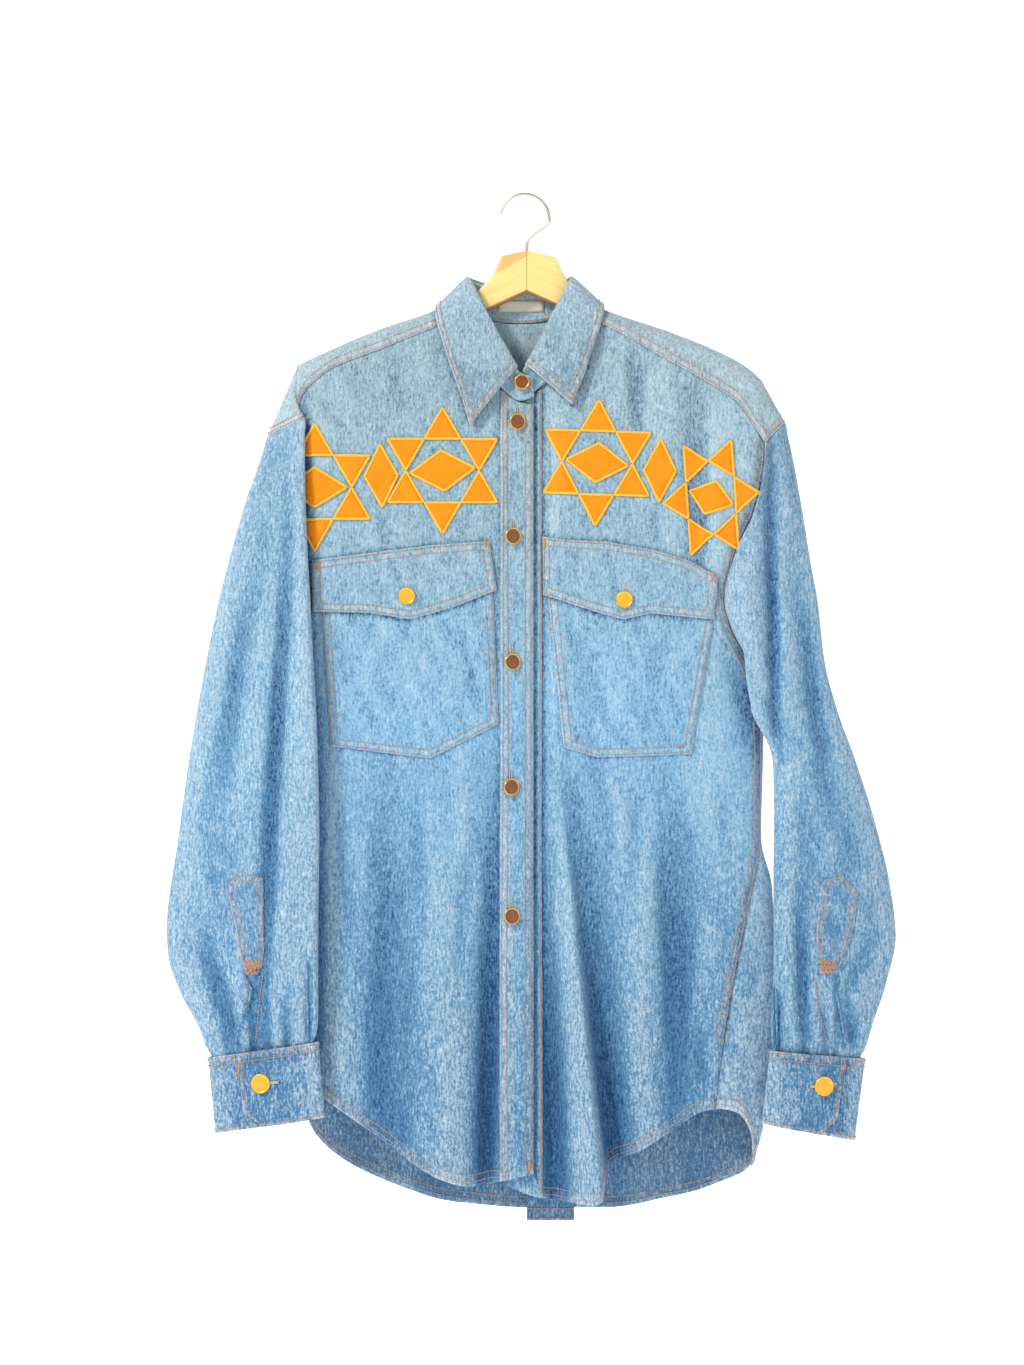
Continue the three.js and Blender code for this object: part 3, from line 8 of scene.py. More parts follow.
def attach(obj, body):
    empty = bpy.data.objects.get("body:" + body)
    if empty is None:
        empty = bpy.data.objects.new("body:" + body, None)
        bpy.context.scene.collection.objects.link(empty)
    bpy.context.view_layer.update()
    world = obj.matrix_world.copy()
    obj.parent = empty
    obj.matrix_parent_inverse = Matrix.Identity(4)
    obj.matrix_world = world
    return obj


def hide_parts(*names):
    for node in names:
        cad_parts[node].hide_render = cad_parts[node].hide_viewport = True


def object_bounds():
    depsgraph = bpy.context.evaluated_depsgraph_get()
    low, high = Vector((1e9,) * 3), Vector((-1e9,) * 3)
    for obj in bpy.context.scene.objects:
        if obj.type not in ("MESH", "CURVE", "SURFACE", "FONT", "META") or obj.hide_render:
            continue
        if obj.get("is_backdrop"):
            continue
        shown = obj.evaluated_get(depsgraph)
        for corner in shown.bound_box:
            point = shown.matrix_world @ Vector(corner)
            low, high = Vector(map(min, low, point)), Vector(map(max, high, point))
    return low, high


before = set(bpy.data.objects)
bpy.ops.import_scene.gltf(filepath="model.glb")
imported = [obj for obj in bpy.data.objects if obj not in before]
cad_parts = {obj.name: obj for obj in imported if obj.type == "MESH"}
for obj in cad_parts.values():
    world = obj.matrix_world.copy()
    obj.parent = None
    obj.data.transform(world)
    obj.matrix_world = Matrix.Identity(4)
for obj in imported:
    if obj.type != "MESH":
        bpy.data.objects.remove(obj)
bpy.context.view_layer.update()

# A denim western shirt with star patches on a wooden hanger. Shapes are worked out in the CAD's millimetres,
# with x to the right, z up and the front towards -y, and are turned into metres when their meshes are made.
mm = 0.001
crestShift = 3.3  # the parts lie this far to the right of the tables' x
pixel = 0.95  # millimetres to a pixel of the photograph
fineStep, placketStep = 3.0, 2.6  # spacing of a cloth grid

camera = {"distance": 3.6, "height": 1365 * pixel * mm, "x": -0.0119, "z": -0.4622, "sensor": 36}


def addObject(name, data):
    obj = bpy.data.objects.new(name, data)
    bpy.context.scene.collection.objects.link(obj)
    return obj


def makeCamera():
    data = bpy.data.cameras.new("camera")
    data.sensor_width = camera["sensor"]
    data.lens = camera["sensor"] * camera["distance"] / camera["height"]
    data.clip_end = 50
    obj = addObject("camera", data)
    obj.location = (camera["x"], -camera["distance"], camera["z"])
    obj.rotation_euler = (math.pi / 2, 0, 0)
    bpy.context.scene.camera = obj


makeCamera()
print("camera made")


# Numbers and curves
def smooth(start, end, v):
    t = np.clip((v - start) / (end - start), 0, 1)
    return t * t * (3 - 2 * t)


def mixed(a, b, t):
    return a + (b - a) * t


def table(names, *rows):
    return {name: np.array(column, float) for name, column in zip(names.split(), zip(*rows))}


def rowsOf(columns):
    return [dict(zip(columns, values)) for values in zip(*columns.values())]


# The value of one column at places along another, on a smooth curve that never overshoots
def follow(rows, by, column, at):
    keys, values = rows[by], rows[column]
    if keys[0] > keys[-1]:
        keys, values = keys[::-1], values[::-1]
    span = np.diff(keys)
    slope = np.diff(values) / span
    tangent = np.empty(len(keys))
    tangent[0], tangent[-1] = slope[0], slope[-1]
    product, total = slope[:-1] * slope[1:], slope[:-1] + slope[1:]
    tangent[1:-1] = np.where(product > 0, 2 * product / np.where(product > 0, total, 1), 0)
    at = np.clip(at, keys[0], keys[-1])
    i = np.clip(np.searchsorted(keys, at) - 1, 0, len(span) - 1)
    t = (at - keys[i]) / span[i]
    low, high, reach = values[i], values[i + 1], span[i]
    return ((1 + 2 * t) * (1 - t) ** 2 * low + t * (1 - t) ** 2 * reach * tangent[i]
            + t * t * (3 - 2 * t) * high + t * t * (t - 1) * reach * tangent[i + 1])


def lengthsAlong(line):
    return np.concatenate([[0], np.cumsum(np.linalg.norm(np.diff(line, axis=0), axis=1))])


# n + 1 points at equal distances along a dense line of points
def resample(line, n):
    line = np.asarray(line, float)
    along = lengthsAlong(line)
    wanted = np.linspace(0, along[-1], n + 1)
    return np.stack([np.interp(wanted, along, line[:, k]) for k in range(line.shape[1])], axis=1)


# Lines end to end, each with its own number of steps
def joined(lines, counts):
    return np.concatenate([resample(line, n)[1 if k else 0:] for k, (line, n) in enumerate(zip(lines, counts))])


def spaced(line, step):
    line = np.asarray(line, float)
    length = np.linalg.norm(np.diff(line, axis=0), axis=1).sum()
    return resample(line, max(2, round(length / step)))


# Folds run down the cloth: x at their top and low end, the heights between which they grow, how far they stand
# out, their reach to either side, the share of their length where they are highest, and what is left at the end
foldColumns = "x0 x1 top low height left right deepest end"
bend = {"top": -480, "low": -960}  # above this stretch a body fold runs straight down, along it the line leans


def foldHeight(folds, x, z, leans=False):
    total = np.zeros(np.broadcast(x, z).shape)
    for row in rowsOf(folds):
        t = (row["top"] - z) / (row["top"] - row["low"])
        grown = smooth(0, row["deepest"], t)
        ebbed = mixed(1, row["end"], smooth(row["deepest"], 1, t))
        down = (bend["top"] - z) / (bend["top"] - bend["low"]) if leans else t
        aside = x - mixed(row["x0"], row["x1"], np.clip(down, 0, 1))
        reach = np.where(aside < 0, row["left"], row["right"])
        height = row["height"] * np.where(t < row["deepest"], grown, ebbed) * np.exp(-((aside / reach) ** 2))
        total += np.where(t > 0, height, 0)
    return total


# Soft creases: from and to in x and z, how far they stand out, their width and their bow
creaseColumns = "x0 z0 x1 z1 height width bow"


def creaseHeight(creases, x, z):
    total = np.zeros(np.broadcast(x, z).shape)
    for row in rowsOf(creases):
        dx, dz = row["x1"] - row["x0"], row["z1"] - row["z0"]
        length = math.hypot(dx, dz)
        along = ((x - row["x0"]) * dx + (z - row["z0"]) * dz) / length**2
        aside = ((x - row["x0"]) * dz - (z - row["z0"]) * dx) / length
        aside = aside - row["bow"] * 4 * along * (1 - along)
        ends = smooth(-0.12, 0.3, along) * (1 - smooth(0.6, 1.12, along))
        total += row["height"] * ends * np.exp(-((aside / row["width"]) ** 2))
    return total


# A faint unevenness that all hanging cloth has, from a few crossed waves
def unevenness(x, z, seed, height=0.2, across=26, down=95):
    random = np.random.default_rng(seed)
    total = np.zeros(np.broadcast(x, z).shape)
    for _ in range(9):
        kx = 2 * math.pi / (across * random.uniform(0.6, 1.9)) * random.choice([-1, 1])
        kz = 2 * math.pi / (down * random.uniform(0.6, 2.0))
        total += np.sin(kx * x + kz * z + random.uniform(0, 6.28))
    return total * height / 3


# Distance from places to a line of points, how far along it the nearest point is, and on which side
def nearLine(line, x, z):
    best = np.full(np.broadcast(x, z).shape, 1e9)
    along = np.zeros_like(best)
    side = np.zeros_like(best)
    start = 0
    for (ax, az), (bx, bz) in zip(line[:-1], line[1:]):
        dx, dz = bx - ax, bz - az
        length = math.hypot(dx, dz) or 1e-9
        t = np.clip(((x - ax) * dx + (z - az) * dz) / length**2, 0, 1)
        distance = np.hypot(x - ax - t * dx, z - az - t * dz)
        nearer = distance < best
        best = np.where(nearer, distance, best)
        along = np.where(nearer, start + t * length, along)
        side = np.where(nearer, np.sign((x - ax) * dz - (z - az) * dx), side)
        start += length
    return best, along, side


# Puckers that the sewing draws beside a seam: they run across it, and no two are alike
def puckers(along, distance, reach, seed):
    random = np.random.default_rng(seed)
    waves = np.zeros_like(along)
    for length in (8.5, 11.5, 15.0, 23.0):
        waves += np.sin(2 * math.pi * along / length + random.uniform(0, 6.28) + 1.3 * np.sin(along / 31))
    return waves / 2.4 * np.exp(-((np.abs(distance) / reach) ** 1.5))


# The body: its side folds by height, and how far the front and back stand from the middle
hangerReach = 216
hangerForward = 18
edgeFlatness = 0.25
sleeveFlatness = 0.5
bodyRows = table(
    "z left right front back",
    (-100, -236, 240, 12, 11), (-180, -236, 240, 14, 12), (-260, -234, 238, 19, 13), (-415, -222, 226, 24, 14),
    (-530, -214, 223, 27, 15), (-610, -212, 221, 29, 15), (-655, -212, 231, 30, 15), (-760, -214, 236, 32, 16),
    (-880, -212, 223, 34, 17), (-925, -207, 211, 35, 17), (-980, -200, 200, 35, 17),
)
frontFolds = table(
    foldColumns,
    (-29, -38, -470, -960, -15, 15, 8, 0.85, 1),  # valley beside the placket
    (22, 70, -500, -960, 24, 22, 5, 0.95, 1),  # flute
    (32, 79, -540, -960, -11, 5, 24, 0.9, 1),  # valley right of the flute
    (14, 25, -600, -960, -13, 8, 12, 0.9, 1),  # valley left of the flute
    (-138, -134, -430, -960, -6, 22, 26, 0.6, 0.8),
    (-88, -78, -480, -960, 8, 30, 30, 0.8, 0.9),
    (102, 116, -480, -930, 7, 24, 16, 0.6, 0.5),
    (132, 142, -500, -900, -6, 12, 22, 0.6, 0.4),
    (66, 68, -400, -580, -4, 14, 16, 0.5, 0),  # across the pocket
    (104, 104, -140, -250, -4, 9, 7, 0.4, 0),  # chest
    (174, 174, -176, -410, 7, 6, 20, 0.5, 0),  # armhole fold
    (163, 163, -180, -420, -4, 14, 6, 0.5, 0),
    (216, 222, -300, -640, -12, 26, 30, 0.5, 0),  # under the sleeve on the right
    (-214, -210, -150, -520, -7, 14, 10, 0.3, 0.4),  # under the sleeve on the left
    (-212, -212, -400, -960, -7, 20, 18, 0.3, 1),
)
backFolds = table(
    foldColumns,
    (-118, -132, -300, -980, 9, 26, 22, 0.8, 1), (-72, -84, -330, -980, -6, 18, 22, 0.8, 1),
    (104, 126, -320, -980, 8, 22, 28, 0.8, 1), (66, 80, -360, -980, -5, 18, 18, 0.8, 1),
)

# Sleeves by height: inner and outer fold, where those stand in depth, and the wall's reach to front and back
leftSleeve = {  # on the left of the picture
    "rows": table(
        "z tilt inner outer innerY outerY front back",
        (-222, 7, -210, -246, -31, -15, 9, 9), (-250, 4, -210, -254, -33, -15, 10, 12),
        (-300, 0, -209, -270, -35, -14, 12, 14), (-400, 0, -204, -296, -38, -12, 14, 15),
        (-517, 0, -198, -318, -42, -10, 15, 15), (-608, 0, -196, -331, -43, -10, 16, 16),
        (-697, 0, -197, -342, -44, -12, 16, 16), (-721, 1, -197, -340, -44, -14, 16, 15),
        (-756, 4, -197, -326, -43, -18, 14, 13), (-780, 7, -197, -311, -42, -21, 12, 11),
        (-799, 8.3, -198.5, -303, -41, -23.5, 9.5, 9), (-811, 8.5, -203, -295, -41, -25, 6.5, 6.8),
    ),
    "folds": table(
        foldColumns,
        (-219, -254, -215, -815, -9, 9, 9, 0.5, 0.4),  # long valley
        (-258, -300, -330, -620, -4, 12, 14, 0.5, 0),
        (-310, -272, -680, -810, -6, 9, 9, 0.6, 0.4),  # elbow
        (-209, -206, -690, -815, -5, 5, 4, 0.7, 0.5),  # pleats at the cuff
        (-228, -226, -735, -815, -3.2, 5, 5, 0.8, 0.6), (-246, -244, -745, -815, -3, 4, 5, 0.8, 0.6),
        (-262, -258, -725, -815, -3.6, 4, 4, 0.8, 0.6), (-285, -281, -750, -815, -2.6, 4, 4, 0.8, 0.6),
    ),
    "armhole": table("z x", (-214, -221), (-260, -227), (-340, -226), (-390, -223), (-415, -221.5)),
    "backArmhole": table("z s", (-220, 2.83), (-300, 2.86), (-370, 2.93), (-415, 3)),
    "top": -222, "underarm": -415, "cuff": -811, "startAngle": -32, "pullReach": 0.09, "outward": -1,
}
rightSleeve = {
    "rows": table(
        "z tilt inner outer innerY outerY front back",
        (-226.5, -9.5, 223, 243, -22, -15, 8, 9), (-257, -4, 222, 251, -22, -14, 9, 12),
        (-303, 0, 212, 260, -24, -13, 10, 13), (-346, 0, 194, 267, -28, -12, 11, 13),
        (-384, 0, 184, 274, -31, -11, 12, 13), (-443, 0, 186, 281, -34, -10, 13, 13),
        (-489, 0, 203, 293, -33, -10, 14, 14), (-536, 0, 231, 310, -27, -10, 15, 14),
        (-593, 0, 232, 328, -28, -10, 16, 15), (-651, 0, 231, 342, -32, -11, 16, 15),
        (-702, 0, 231, 348, -36, -12, 16, 14), (-747, 1, 230, 338, -40, -16, 15, 13),
        (-780, 3, 228, 326, -42, -20, 12, 11), (-803, 4.3, 228.5, 318, -42, -23.5, 9.5, 9),
        (-815, 4.5, 233, 311, -42, -25, 5.5, 6.8),
    ),
    "folds": table(
        foldColumns,
        (227, 235, -200, -560, -8, 8, 6, 0.5, 0.5),  # inner valley
        (256, 284, -330, -620, -6, 10, 12, 0.5, 0),
        (252, 261, -600, -815, -7, 8, 7, 0.7, 0.4),  # pleats and gathers at the cuff
        (233, 236, -690, -815, -5, 4, 5, 0.7, 0.5), (300, 306, -740, -815, -4, 6, 6, 0.7, 0.5),
        (243, 246, -740, -815, -2.8, 4, 4, 0.8, 0.6), (276, 279, -745, -815, -3.2, 4, 5, 0.8, 0.6),
        (289, 291, -735, -815, -2.6, 4, 4, 0.8, 0.6),
    ),
    "armhole": table(
        "z x", (-236, 223), (-257, 222), (-303, 211.5), (-336, 196), (-384, 184.5), (-410, 191), (-440, 207),
        (-475, 221.5)),
    "backArmhole": table("z s", (-220, 1.17), (-300, 1.15), (-400, 1.08), (-475, 0.96)),
    "top": -226.5, "underarm": -475, "cuff": -815, "startAngle": 4, "pullReach": 0.2, "outward": 1,
}
rightSideSeam = table(
    "z x", (-475, 221.5), (-540, 221.5), (-613, 220.5), (-648, 214), (-692, 204.5), (-741, 194.5), (-803, 184),
    (-866, 176))
rightFrontTop = table(
    "x z", (-221, -214), (-213.6, -192), (-197.6, -175), (-182.6, -164.5), (-138.6, -147), (-102.6, -132),
    (-72, -122), (-62, -134), (-46, -158), (-28, -182), (-8, -197), (6, -200))
leftFrontTop = table(
    "x z", (-22, -200), (-8, -197), (14, -182), (33, -158), (50, -134), (60, -119), (68.4, -122),
    (124, -152.6), (183, -187.4), (198.4, -198.4), (211.5, -219), (223, -236))
rightFrontHem = table(
    "x z", (-214, -848), (-191, -856), (-178.6, -864.5), (-138, -893), (-83, -929), (-54, -936.5),
    (-34, -933.5), (7, -923.5))
leftFrontHem = table(
    "x z", (-22, -935), (2, -945), (24, -950), (60, -952), (69, -948), (76, -917), (103, -904), (134, -885),
    (165.7, -866), (177, -864))
backHem = table(
    "s z", (0.6, -864), (0.68, -868), (0.78, -884), (0.95, -916), (1.1, -926), (1.3, -937), (1.5, -951),
    (1.75, -962), (2, -963), (2.2, -958), (2.4, -944), (2.6, -922), (2.78, -898), (2.92, -875), (3, -850))
backYokeSeam = -220
placketLeft, placketRight, bandRight, underlap = -26, 5, 13, -20


def asLine(rows, first="x", second="z", keep=lambda a: True):
    return [(a, b) for a, b in zip(rows[first], rows[second]) if keep(a)]


# Creases of the front, in x and z of the picture: light pulls, soft troughs and the marks of folding
frontCreases = table(
    creaseColumns,
    (-196, -196, -168, -228, -1.6, 5, 2), (-182, -176, -160, -214, 1.2, 6, -2), (-128, -152, -118, -206, -1.1, 7, 2),
    (-46, -172, -56, -214, -1.3, 6, -2), (-34, -196, -42, -236, 1.0, 5, 1), (-100, -140, -92, -186, 0.9, 8, 2),
    (-139, -300, -136, -338, -1.5, 6, 1), (-150, -302, -146, -336, 1.0, 5, -1), (-62, -306, -58, -328, -0.9, 5, 1),
    (-204, -320, -178, -338, -0.9, 5, 1), (-176, -410, -172, -470, -1.0, 8, 2), (-62, -400, -52, -500, -1.3, 9, -3),
    (-104, -408, -98, -505, 1.1, 11, 3), (-148, -408, -156, -500, 0.9, 10, -2), (-32, -382, -33, -520, -1.6, 4, 0),
    (-176, -545, -160, -760, -1.8, 11, 5), (-190, -560, -196, -800, 1.6, 9, -3), (-110, -548, -104, -720, -1.6, 10, -4),
    (-64, -520, -58, -640, 1.4, 8, 3), (-52, -600, -66, -780, -1.8, 9, 4), (-126, -700, -116, -880, 1.6, 10, 4),
    (-152, -760, -146, -880, -1.5, 8, -3), (-90, -800, -84, -915, -1.5, 8, 2), (-176, -800, -168, -858, 1.3, 8, 2),
    (-200, -640, -178, -700, -1.2, 7, 2), (-98, -620, -128, -690, -0.8, 9, 4), (-40, -690, -30, -720, 1.0, 6, 0),
    (96, -148, 108, -210, -1.2, 5, 2), (152, -180, 164, -240, -1.5, 5, -2), (58, -150, 50, -196, -1.0, 6, 2),
    (128, -160, 136, -214, 1.1, 7, 2), (18, -206, 22, -300, -1.5, 5, -2), (28, -300, 26, -322, 0.9, 5, 0),
    (176, -226, 152, -262, -1.4, 5, 3), (196, -262, 168, -330, 1.4, 7, 4), (120, -296, 124, -336, -1.2, 6, 1),
    (164, -310, 148, -344, -1.1, 6, -2), (44, -400, 60, -500, -1.2, 9, -4), (84, -412, 92, -520, 1.1, 10, 3),
    (128, -410, 120, -510, -1.2, 9, 3), (150, -420, 144, -470, 0.9, 6, -2), (186, -420, 176, -520, -1.3, 8, 3),
    (172, -530, 198, -640, -1.4, 10, -4), (108, -545, 100, -690, -1.7, 9, 4), (76, -540, 94, -650, 1.4, 8, -3),
    (134, -560, 148, -700, 1.4, 9, 4), (150, -680, 138, -800, -1.6, 9, -4), (116, -720, 122, -860, -1.5, 8, 3),
    (96, -760, 104, -880, 1.3, 8, -2), (160, -780, 168, -850, -1.4, 6, 2), (178, -690, 160, -760, 1.1, 7, 2),
    (192, -560, 182, -620, -1.1, 7, 2), (30, -560, 36, -700, 1.0, 6, 2), (18, -330, 14, -470, -1.3, 4, 1),
    (200, -800, 214, -880, -1.6, 6, 2), (206, -760, 196, -850, 1.5, 6, -2), (222, -700, 212, -790, -1.3, 6, 2),
)
backCreases = table(
    creaseColumns,
    (-40, -250, -30, -420, -1.5, 10, 4), (-96, -240, -118, -380, 1.3, 11, -4), (-150, -235, -176, -380, -1.7, 9, 5),
    (-186, -240, -200, -330, 1.5, 8, 3), (-60, -430, -48, -640, 1.5, 12, -5), (-160, -420, -150, -600, -1.4, 11, 5),
    (-110, -560, -98, -760, -1.8, 11, 4), (-184, -560, -178, -780, 1.6, 10, -4), (-40, -660, -52, -860, -1.6, 9, 3),
    (-150, -700, -160, -880, 1.7, 10, 5), (-90, -790, -84, -930, -1.6, 9, -3), (-196, -760, -190, -850, -1.3, 7, 2),
    (90, -245, 110, -400, -1.6, 10, -5), (140, -238, 172, -360, 1.5, 9, 5), (184, -240, 200, -350, -1.6, 8, -3),
    (60, -300, 66, -460, 1.3, 11, 4), (160, -400, 152, -590, -1.5, 11, -5), (92, -480, 84, -680, 1.5, 11, 4),
    (190, -520, 184, -700, 1.4, 9, 4), (136, -620, 148, -800, -1.8, 10, -4), (66, -700, 76, -900, -1.6, 9, 3),
    (172, -720, 164, -880, 1.5, 9, -3), (108, -780, 116, -930, 1.6, 9, 3), (200, -800, 196, -890, -1.3, 7, 2),
)
leftSleeveCreases = table(
    creaseColumns,
    (-236, -240, -262, -300, -1.4, 6, 3), (-222, -232, -214, -330, 1.6, 6, 2), (-246, -300, -262, -420, -1.3, 8, -4),
    (-224, -330, -238, -470, 1.3, 7, 3), (-276, -360, -292, -470, 1.1, 8, 3), (-216, -430, -214, -600, -1.4, 7, 3),
    (-262, -480, -276, -600, 1.5, 9, -4), (-296, -500, -306, -620, -1.3, 9, 4), (-234, -560, -226, -700, 1.4, 8, -3),
    (-318, -600, -296, -680, 1.4, 8, 4), (-322, -700, -290, -740, -1.7, 7, 3), (-326, -720, -296, -770, 1.4, 6, 3),
    (-214, -640, -222, -780, -1.5, 6, 2), (-240, -740, -236, -800, 1.4, 4, 0), (-300, -745, -285, -800, -1.6, 5, 1),
    (-270, -738, -268, -800, 1.5, 4, 0), (-222, -760, -220, -800, 1.3, 4, 0), (-306, -640, -288, -650, -1.2, 6, 2),
    (-205, -360, -212, -500, 1.3, 6, 0), (-210, -700, -206, -790, 1.3, 4, 0),
)
rightSleeveCreases = table(
    creaseColumns,
    (238, -236, 246, -330, 1.4, 6, -2), (232, -250, 226, -330, -1.2, 5, 2), (244, -340, 262, -430, -1.4, 7, 3),
    (206, -350, 214, -440, 1.2, 7, 2), (198, -400, 222, -470, -1.4, 6, 3), (212, -440, 240, -500, 1.4, 6, -3),
    (228, -470, 262, -530, -1.5, 7, 3), (262, -470, 284, -560, 1.2, 8, 3), (250, -560, 268, -680, -1.3, 8, -3),
    (292, -560, 312, -640, -1.3, 9, 4), (240, -600, 246, -740, 1.4, 7, 2), (318, -640, 300, -720, 1.3, 8, -3),
    (330, -700, 300, -760, -1.6, 7, 3), (282, -600, 288, -640, 1.0, 8, 2), (322, -730, 302, -785, 1.5, 6, 2),
    (262, -740, 266, -800, 1.5, 4, 0), (284, -745, 286, -800, 1.4, 4, 0), (246, -760, 248, -800, 1.3, 4, 0),
    (312, -770, 306, -800, -1.3, 4, 0), (272, -500, 290, -520, -1.0, 8, 2),
)
# Creases behind the elbow and down the arm, in x measured outwards from the inner fold
sleeveBackCreases = table(
    creaseColumns,
    (28, -250, 40, -360, -1.6, 8, 3), (60, -300, 72, -420, 1.4, 8, -3), (24, -420, 44, -560, 1.4, 9, 4),
    (78, -460, 92, -600, -1.6, 9, -4), (40, -600, 84, -640, -1.7, 8, 3), (36, -650, 96, -690, 1.6, 8, -3),
    (52, -700, 100, -730, -1.6, 7, 3), (28, -720, 36, -800, -1.5, 5, 0), (56, -740, 58, -800, 1.4, 5, 0),
    (80, -745, 78, -800, -1.6, 5, 0), (100, -690, 110, -600, 1.2, 8, 2),
)

armholeLine = asLine(rightSleeve["armhole"], "x", "z")
sideLine = asLine(rightSideSeam, "x", "z")
rightYokeLine = asLine(rightFrontTop, keep=lambda x: x <= -71)
leftYokeLine = asLine(leftFrontTop, keep=lambda x: x >= 60)


# Everything small on the body's front: creases, puckers at the seams and the doubled cloth in them
def frontRelief(x, z):
    height = creaseHeight(frontCreases, x, z) + unevenness(x, z, 3)
    for seed, line in enumerate((armholeLine, sideLine)):
        distance, along, side = nearLine(line, x, z)
        within = smooth(-1, 1.2, distance) * (1 - smooth(8, 11, distance)) * (side > 0)
        height += 0.8 * within + 0.5 * puckers(along, distance - 4, 7, 20 + seed)
    for seed, line in enumerate((rightYokeLine, leftYokeLine)):
        distance, along, side = nearLine(line, x, z)
        height += 0.55 * puckers(along, distance, 9, 30 + seed)
    for seed, (line, low, high) in enumerate(((rightFrontHem, -230, 8), (leftFrontHem, -24, 180))):
        edge = follow(line, "x", "z", x)
        up = z - edge
        on = (x > low) & (x < high) & ((x < 4) if seed == 0 else (x > 4))
        height += np.where(on, 0.6 * puckers(x, np.abs(up - 5), 8, 40 + seed), 0)
    return height


def backRelief(x, z):
    height = creaseHeight(backCreases, x, z) + unevenness(x, z, 8)
    height += 0.5 * puckers(x, np.abs(z - backYokeSeam), 10, 52)
    s = 2 - placeOf(x, z)
    up = z - follow(backHem, "s", "z", s)
    return height + 0.6 * puckers(x, np.abs(up - 5), 8, 53)


def shoulderForward(x, z):
    return -hangerForward * np.clip(np.abs(x) / hangerReach, 0, 1.05) ** 2 * (1 - smooth(-200, -520, z))


# The place round the body's loop: -1 at its left fold, 0 in front, 1 at its right fold, 2 behind, 3 at the left
def placeOf(x, z):
    left, right = follow(bodyRows, "z", "left", z), follow(bodyRows, "z", "right", z)
    return np.arcsin(np.clip((2 * x - left - right) / (right - left), -1, 1)) / (math.pi / 2)


def bodyPoint(s, z, inward=0, relief=True):
    s, z = np.broadcast_arrays(np.asarray(s, float), np.asarray(z, float))
    left, right = follow(bodyRows, "z", "left", z), follow(bodyRows, "z", "right", z)
    angle = math.pi / 2 * s
    x = (left + right) / 2 + (right - left) / 2 * np.sin(angle)
    c = np.cos(angle)
    rounding = np.abs(c) ** edgeFlatness
    front = follow(bodyRows, "z", "front", z) + foldHeight(frontFolds, x, z, True) - inward
    back = follow(bodyRows, "z", "back", z) + foldHeight(backFolds, x, z, True)
    if relief:
        front = front + np.where(c >= 0, frontRelief(x, z), 0)
        back = back + np.where(c < 0, backRelief(x, z), 0)
    y = shoulderForward(x, z) + np.where(c >= 0, -front, back) * rounding
    return np.stack([x, y, z], axis=-1)


def underPlacket(x):
    return 4.2 * (1 - smooth(12, 28, x))


def rightSurface(x, z):
    return bodyPoint(placeOf(x, z), z)


def leftSurface(x, z):
    return bodyPoint(placeOf(x, z), z, underPlacket(x))


def rightFrontY(x, z):
    return rightSurface(x, z)[..., 1]


def leftFrontY(x, z):
    return leftSurface(x, z)[..., 1]


# The surface under a piece whose name ends with the side it is worn on
def frontUnder(name):
    return rightFrontY if name.endswith("right") else leftFrontY


# Meshes
def unit(v):
    return v / np.maximum(np.linalg.norm(v, axis=-1, keepdims=True), 1e-9)


def gridNormals(grid):
    return unit(np.cross(np.gradient(grid, axis=0), np.gradient(grid, axis=1)))


def makeMesh(name, points, faces, marks=None):
    mesh = bpy.data.meshes.new(name)
    places = (np.asarray(points, float) + (crestShift, 0, 0)) * mm
    mesh.from_pydata(places.tolist(), [], faces)
    mesh.polygons.foreach_set("use_smooth", np.ones(len(mesh.polygons), bool))
    for mark, values in (marks or {}).items():
        layer = mesh.attributes.new(mark, "FLOAT", "POINT")
        layer.data.foreach_set("value", np.asarray(values, np.float32).ravel())
    mesh.update()
    return addObject(name, mesh)


def finishPiece(obj, material, slotName, nodes=()):
    obj.data.materials.append(material)
    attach(obj, "root")
    if nodes:
        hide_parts(*nodes)
    return obj


# The faces of a tube from rings of points, and its end caps
def tubeFaces(count, sides, turned=False, closed=False):
    faces = []
    for j in range(count if closed else count - 1):
        low, high = j * sides, (j + 1) % count * sides
        for k in range(sides):
            after = (k + 1) % sides
            face = [low + k, high + k, high + after, low + after]
            faces.append([face[0]] + face[:0:-1] if turned else face)
    if closed:
        return faces
    caps = [list(range(sides)), [(count - 1) * sides + k for k in range(sides)][::-1]]
    return faces + ([cap[::-1] for cap in caps] if turned else caps)


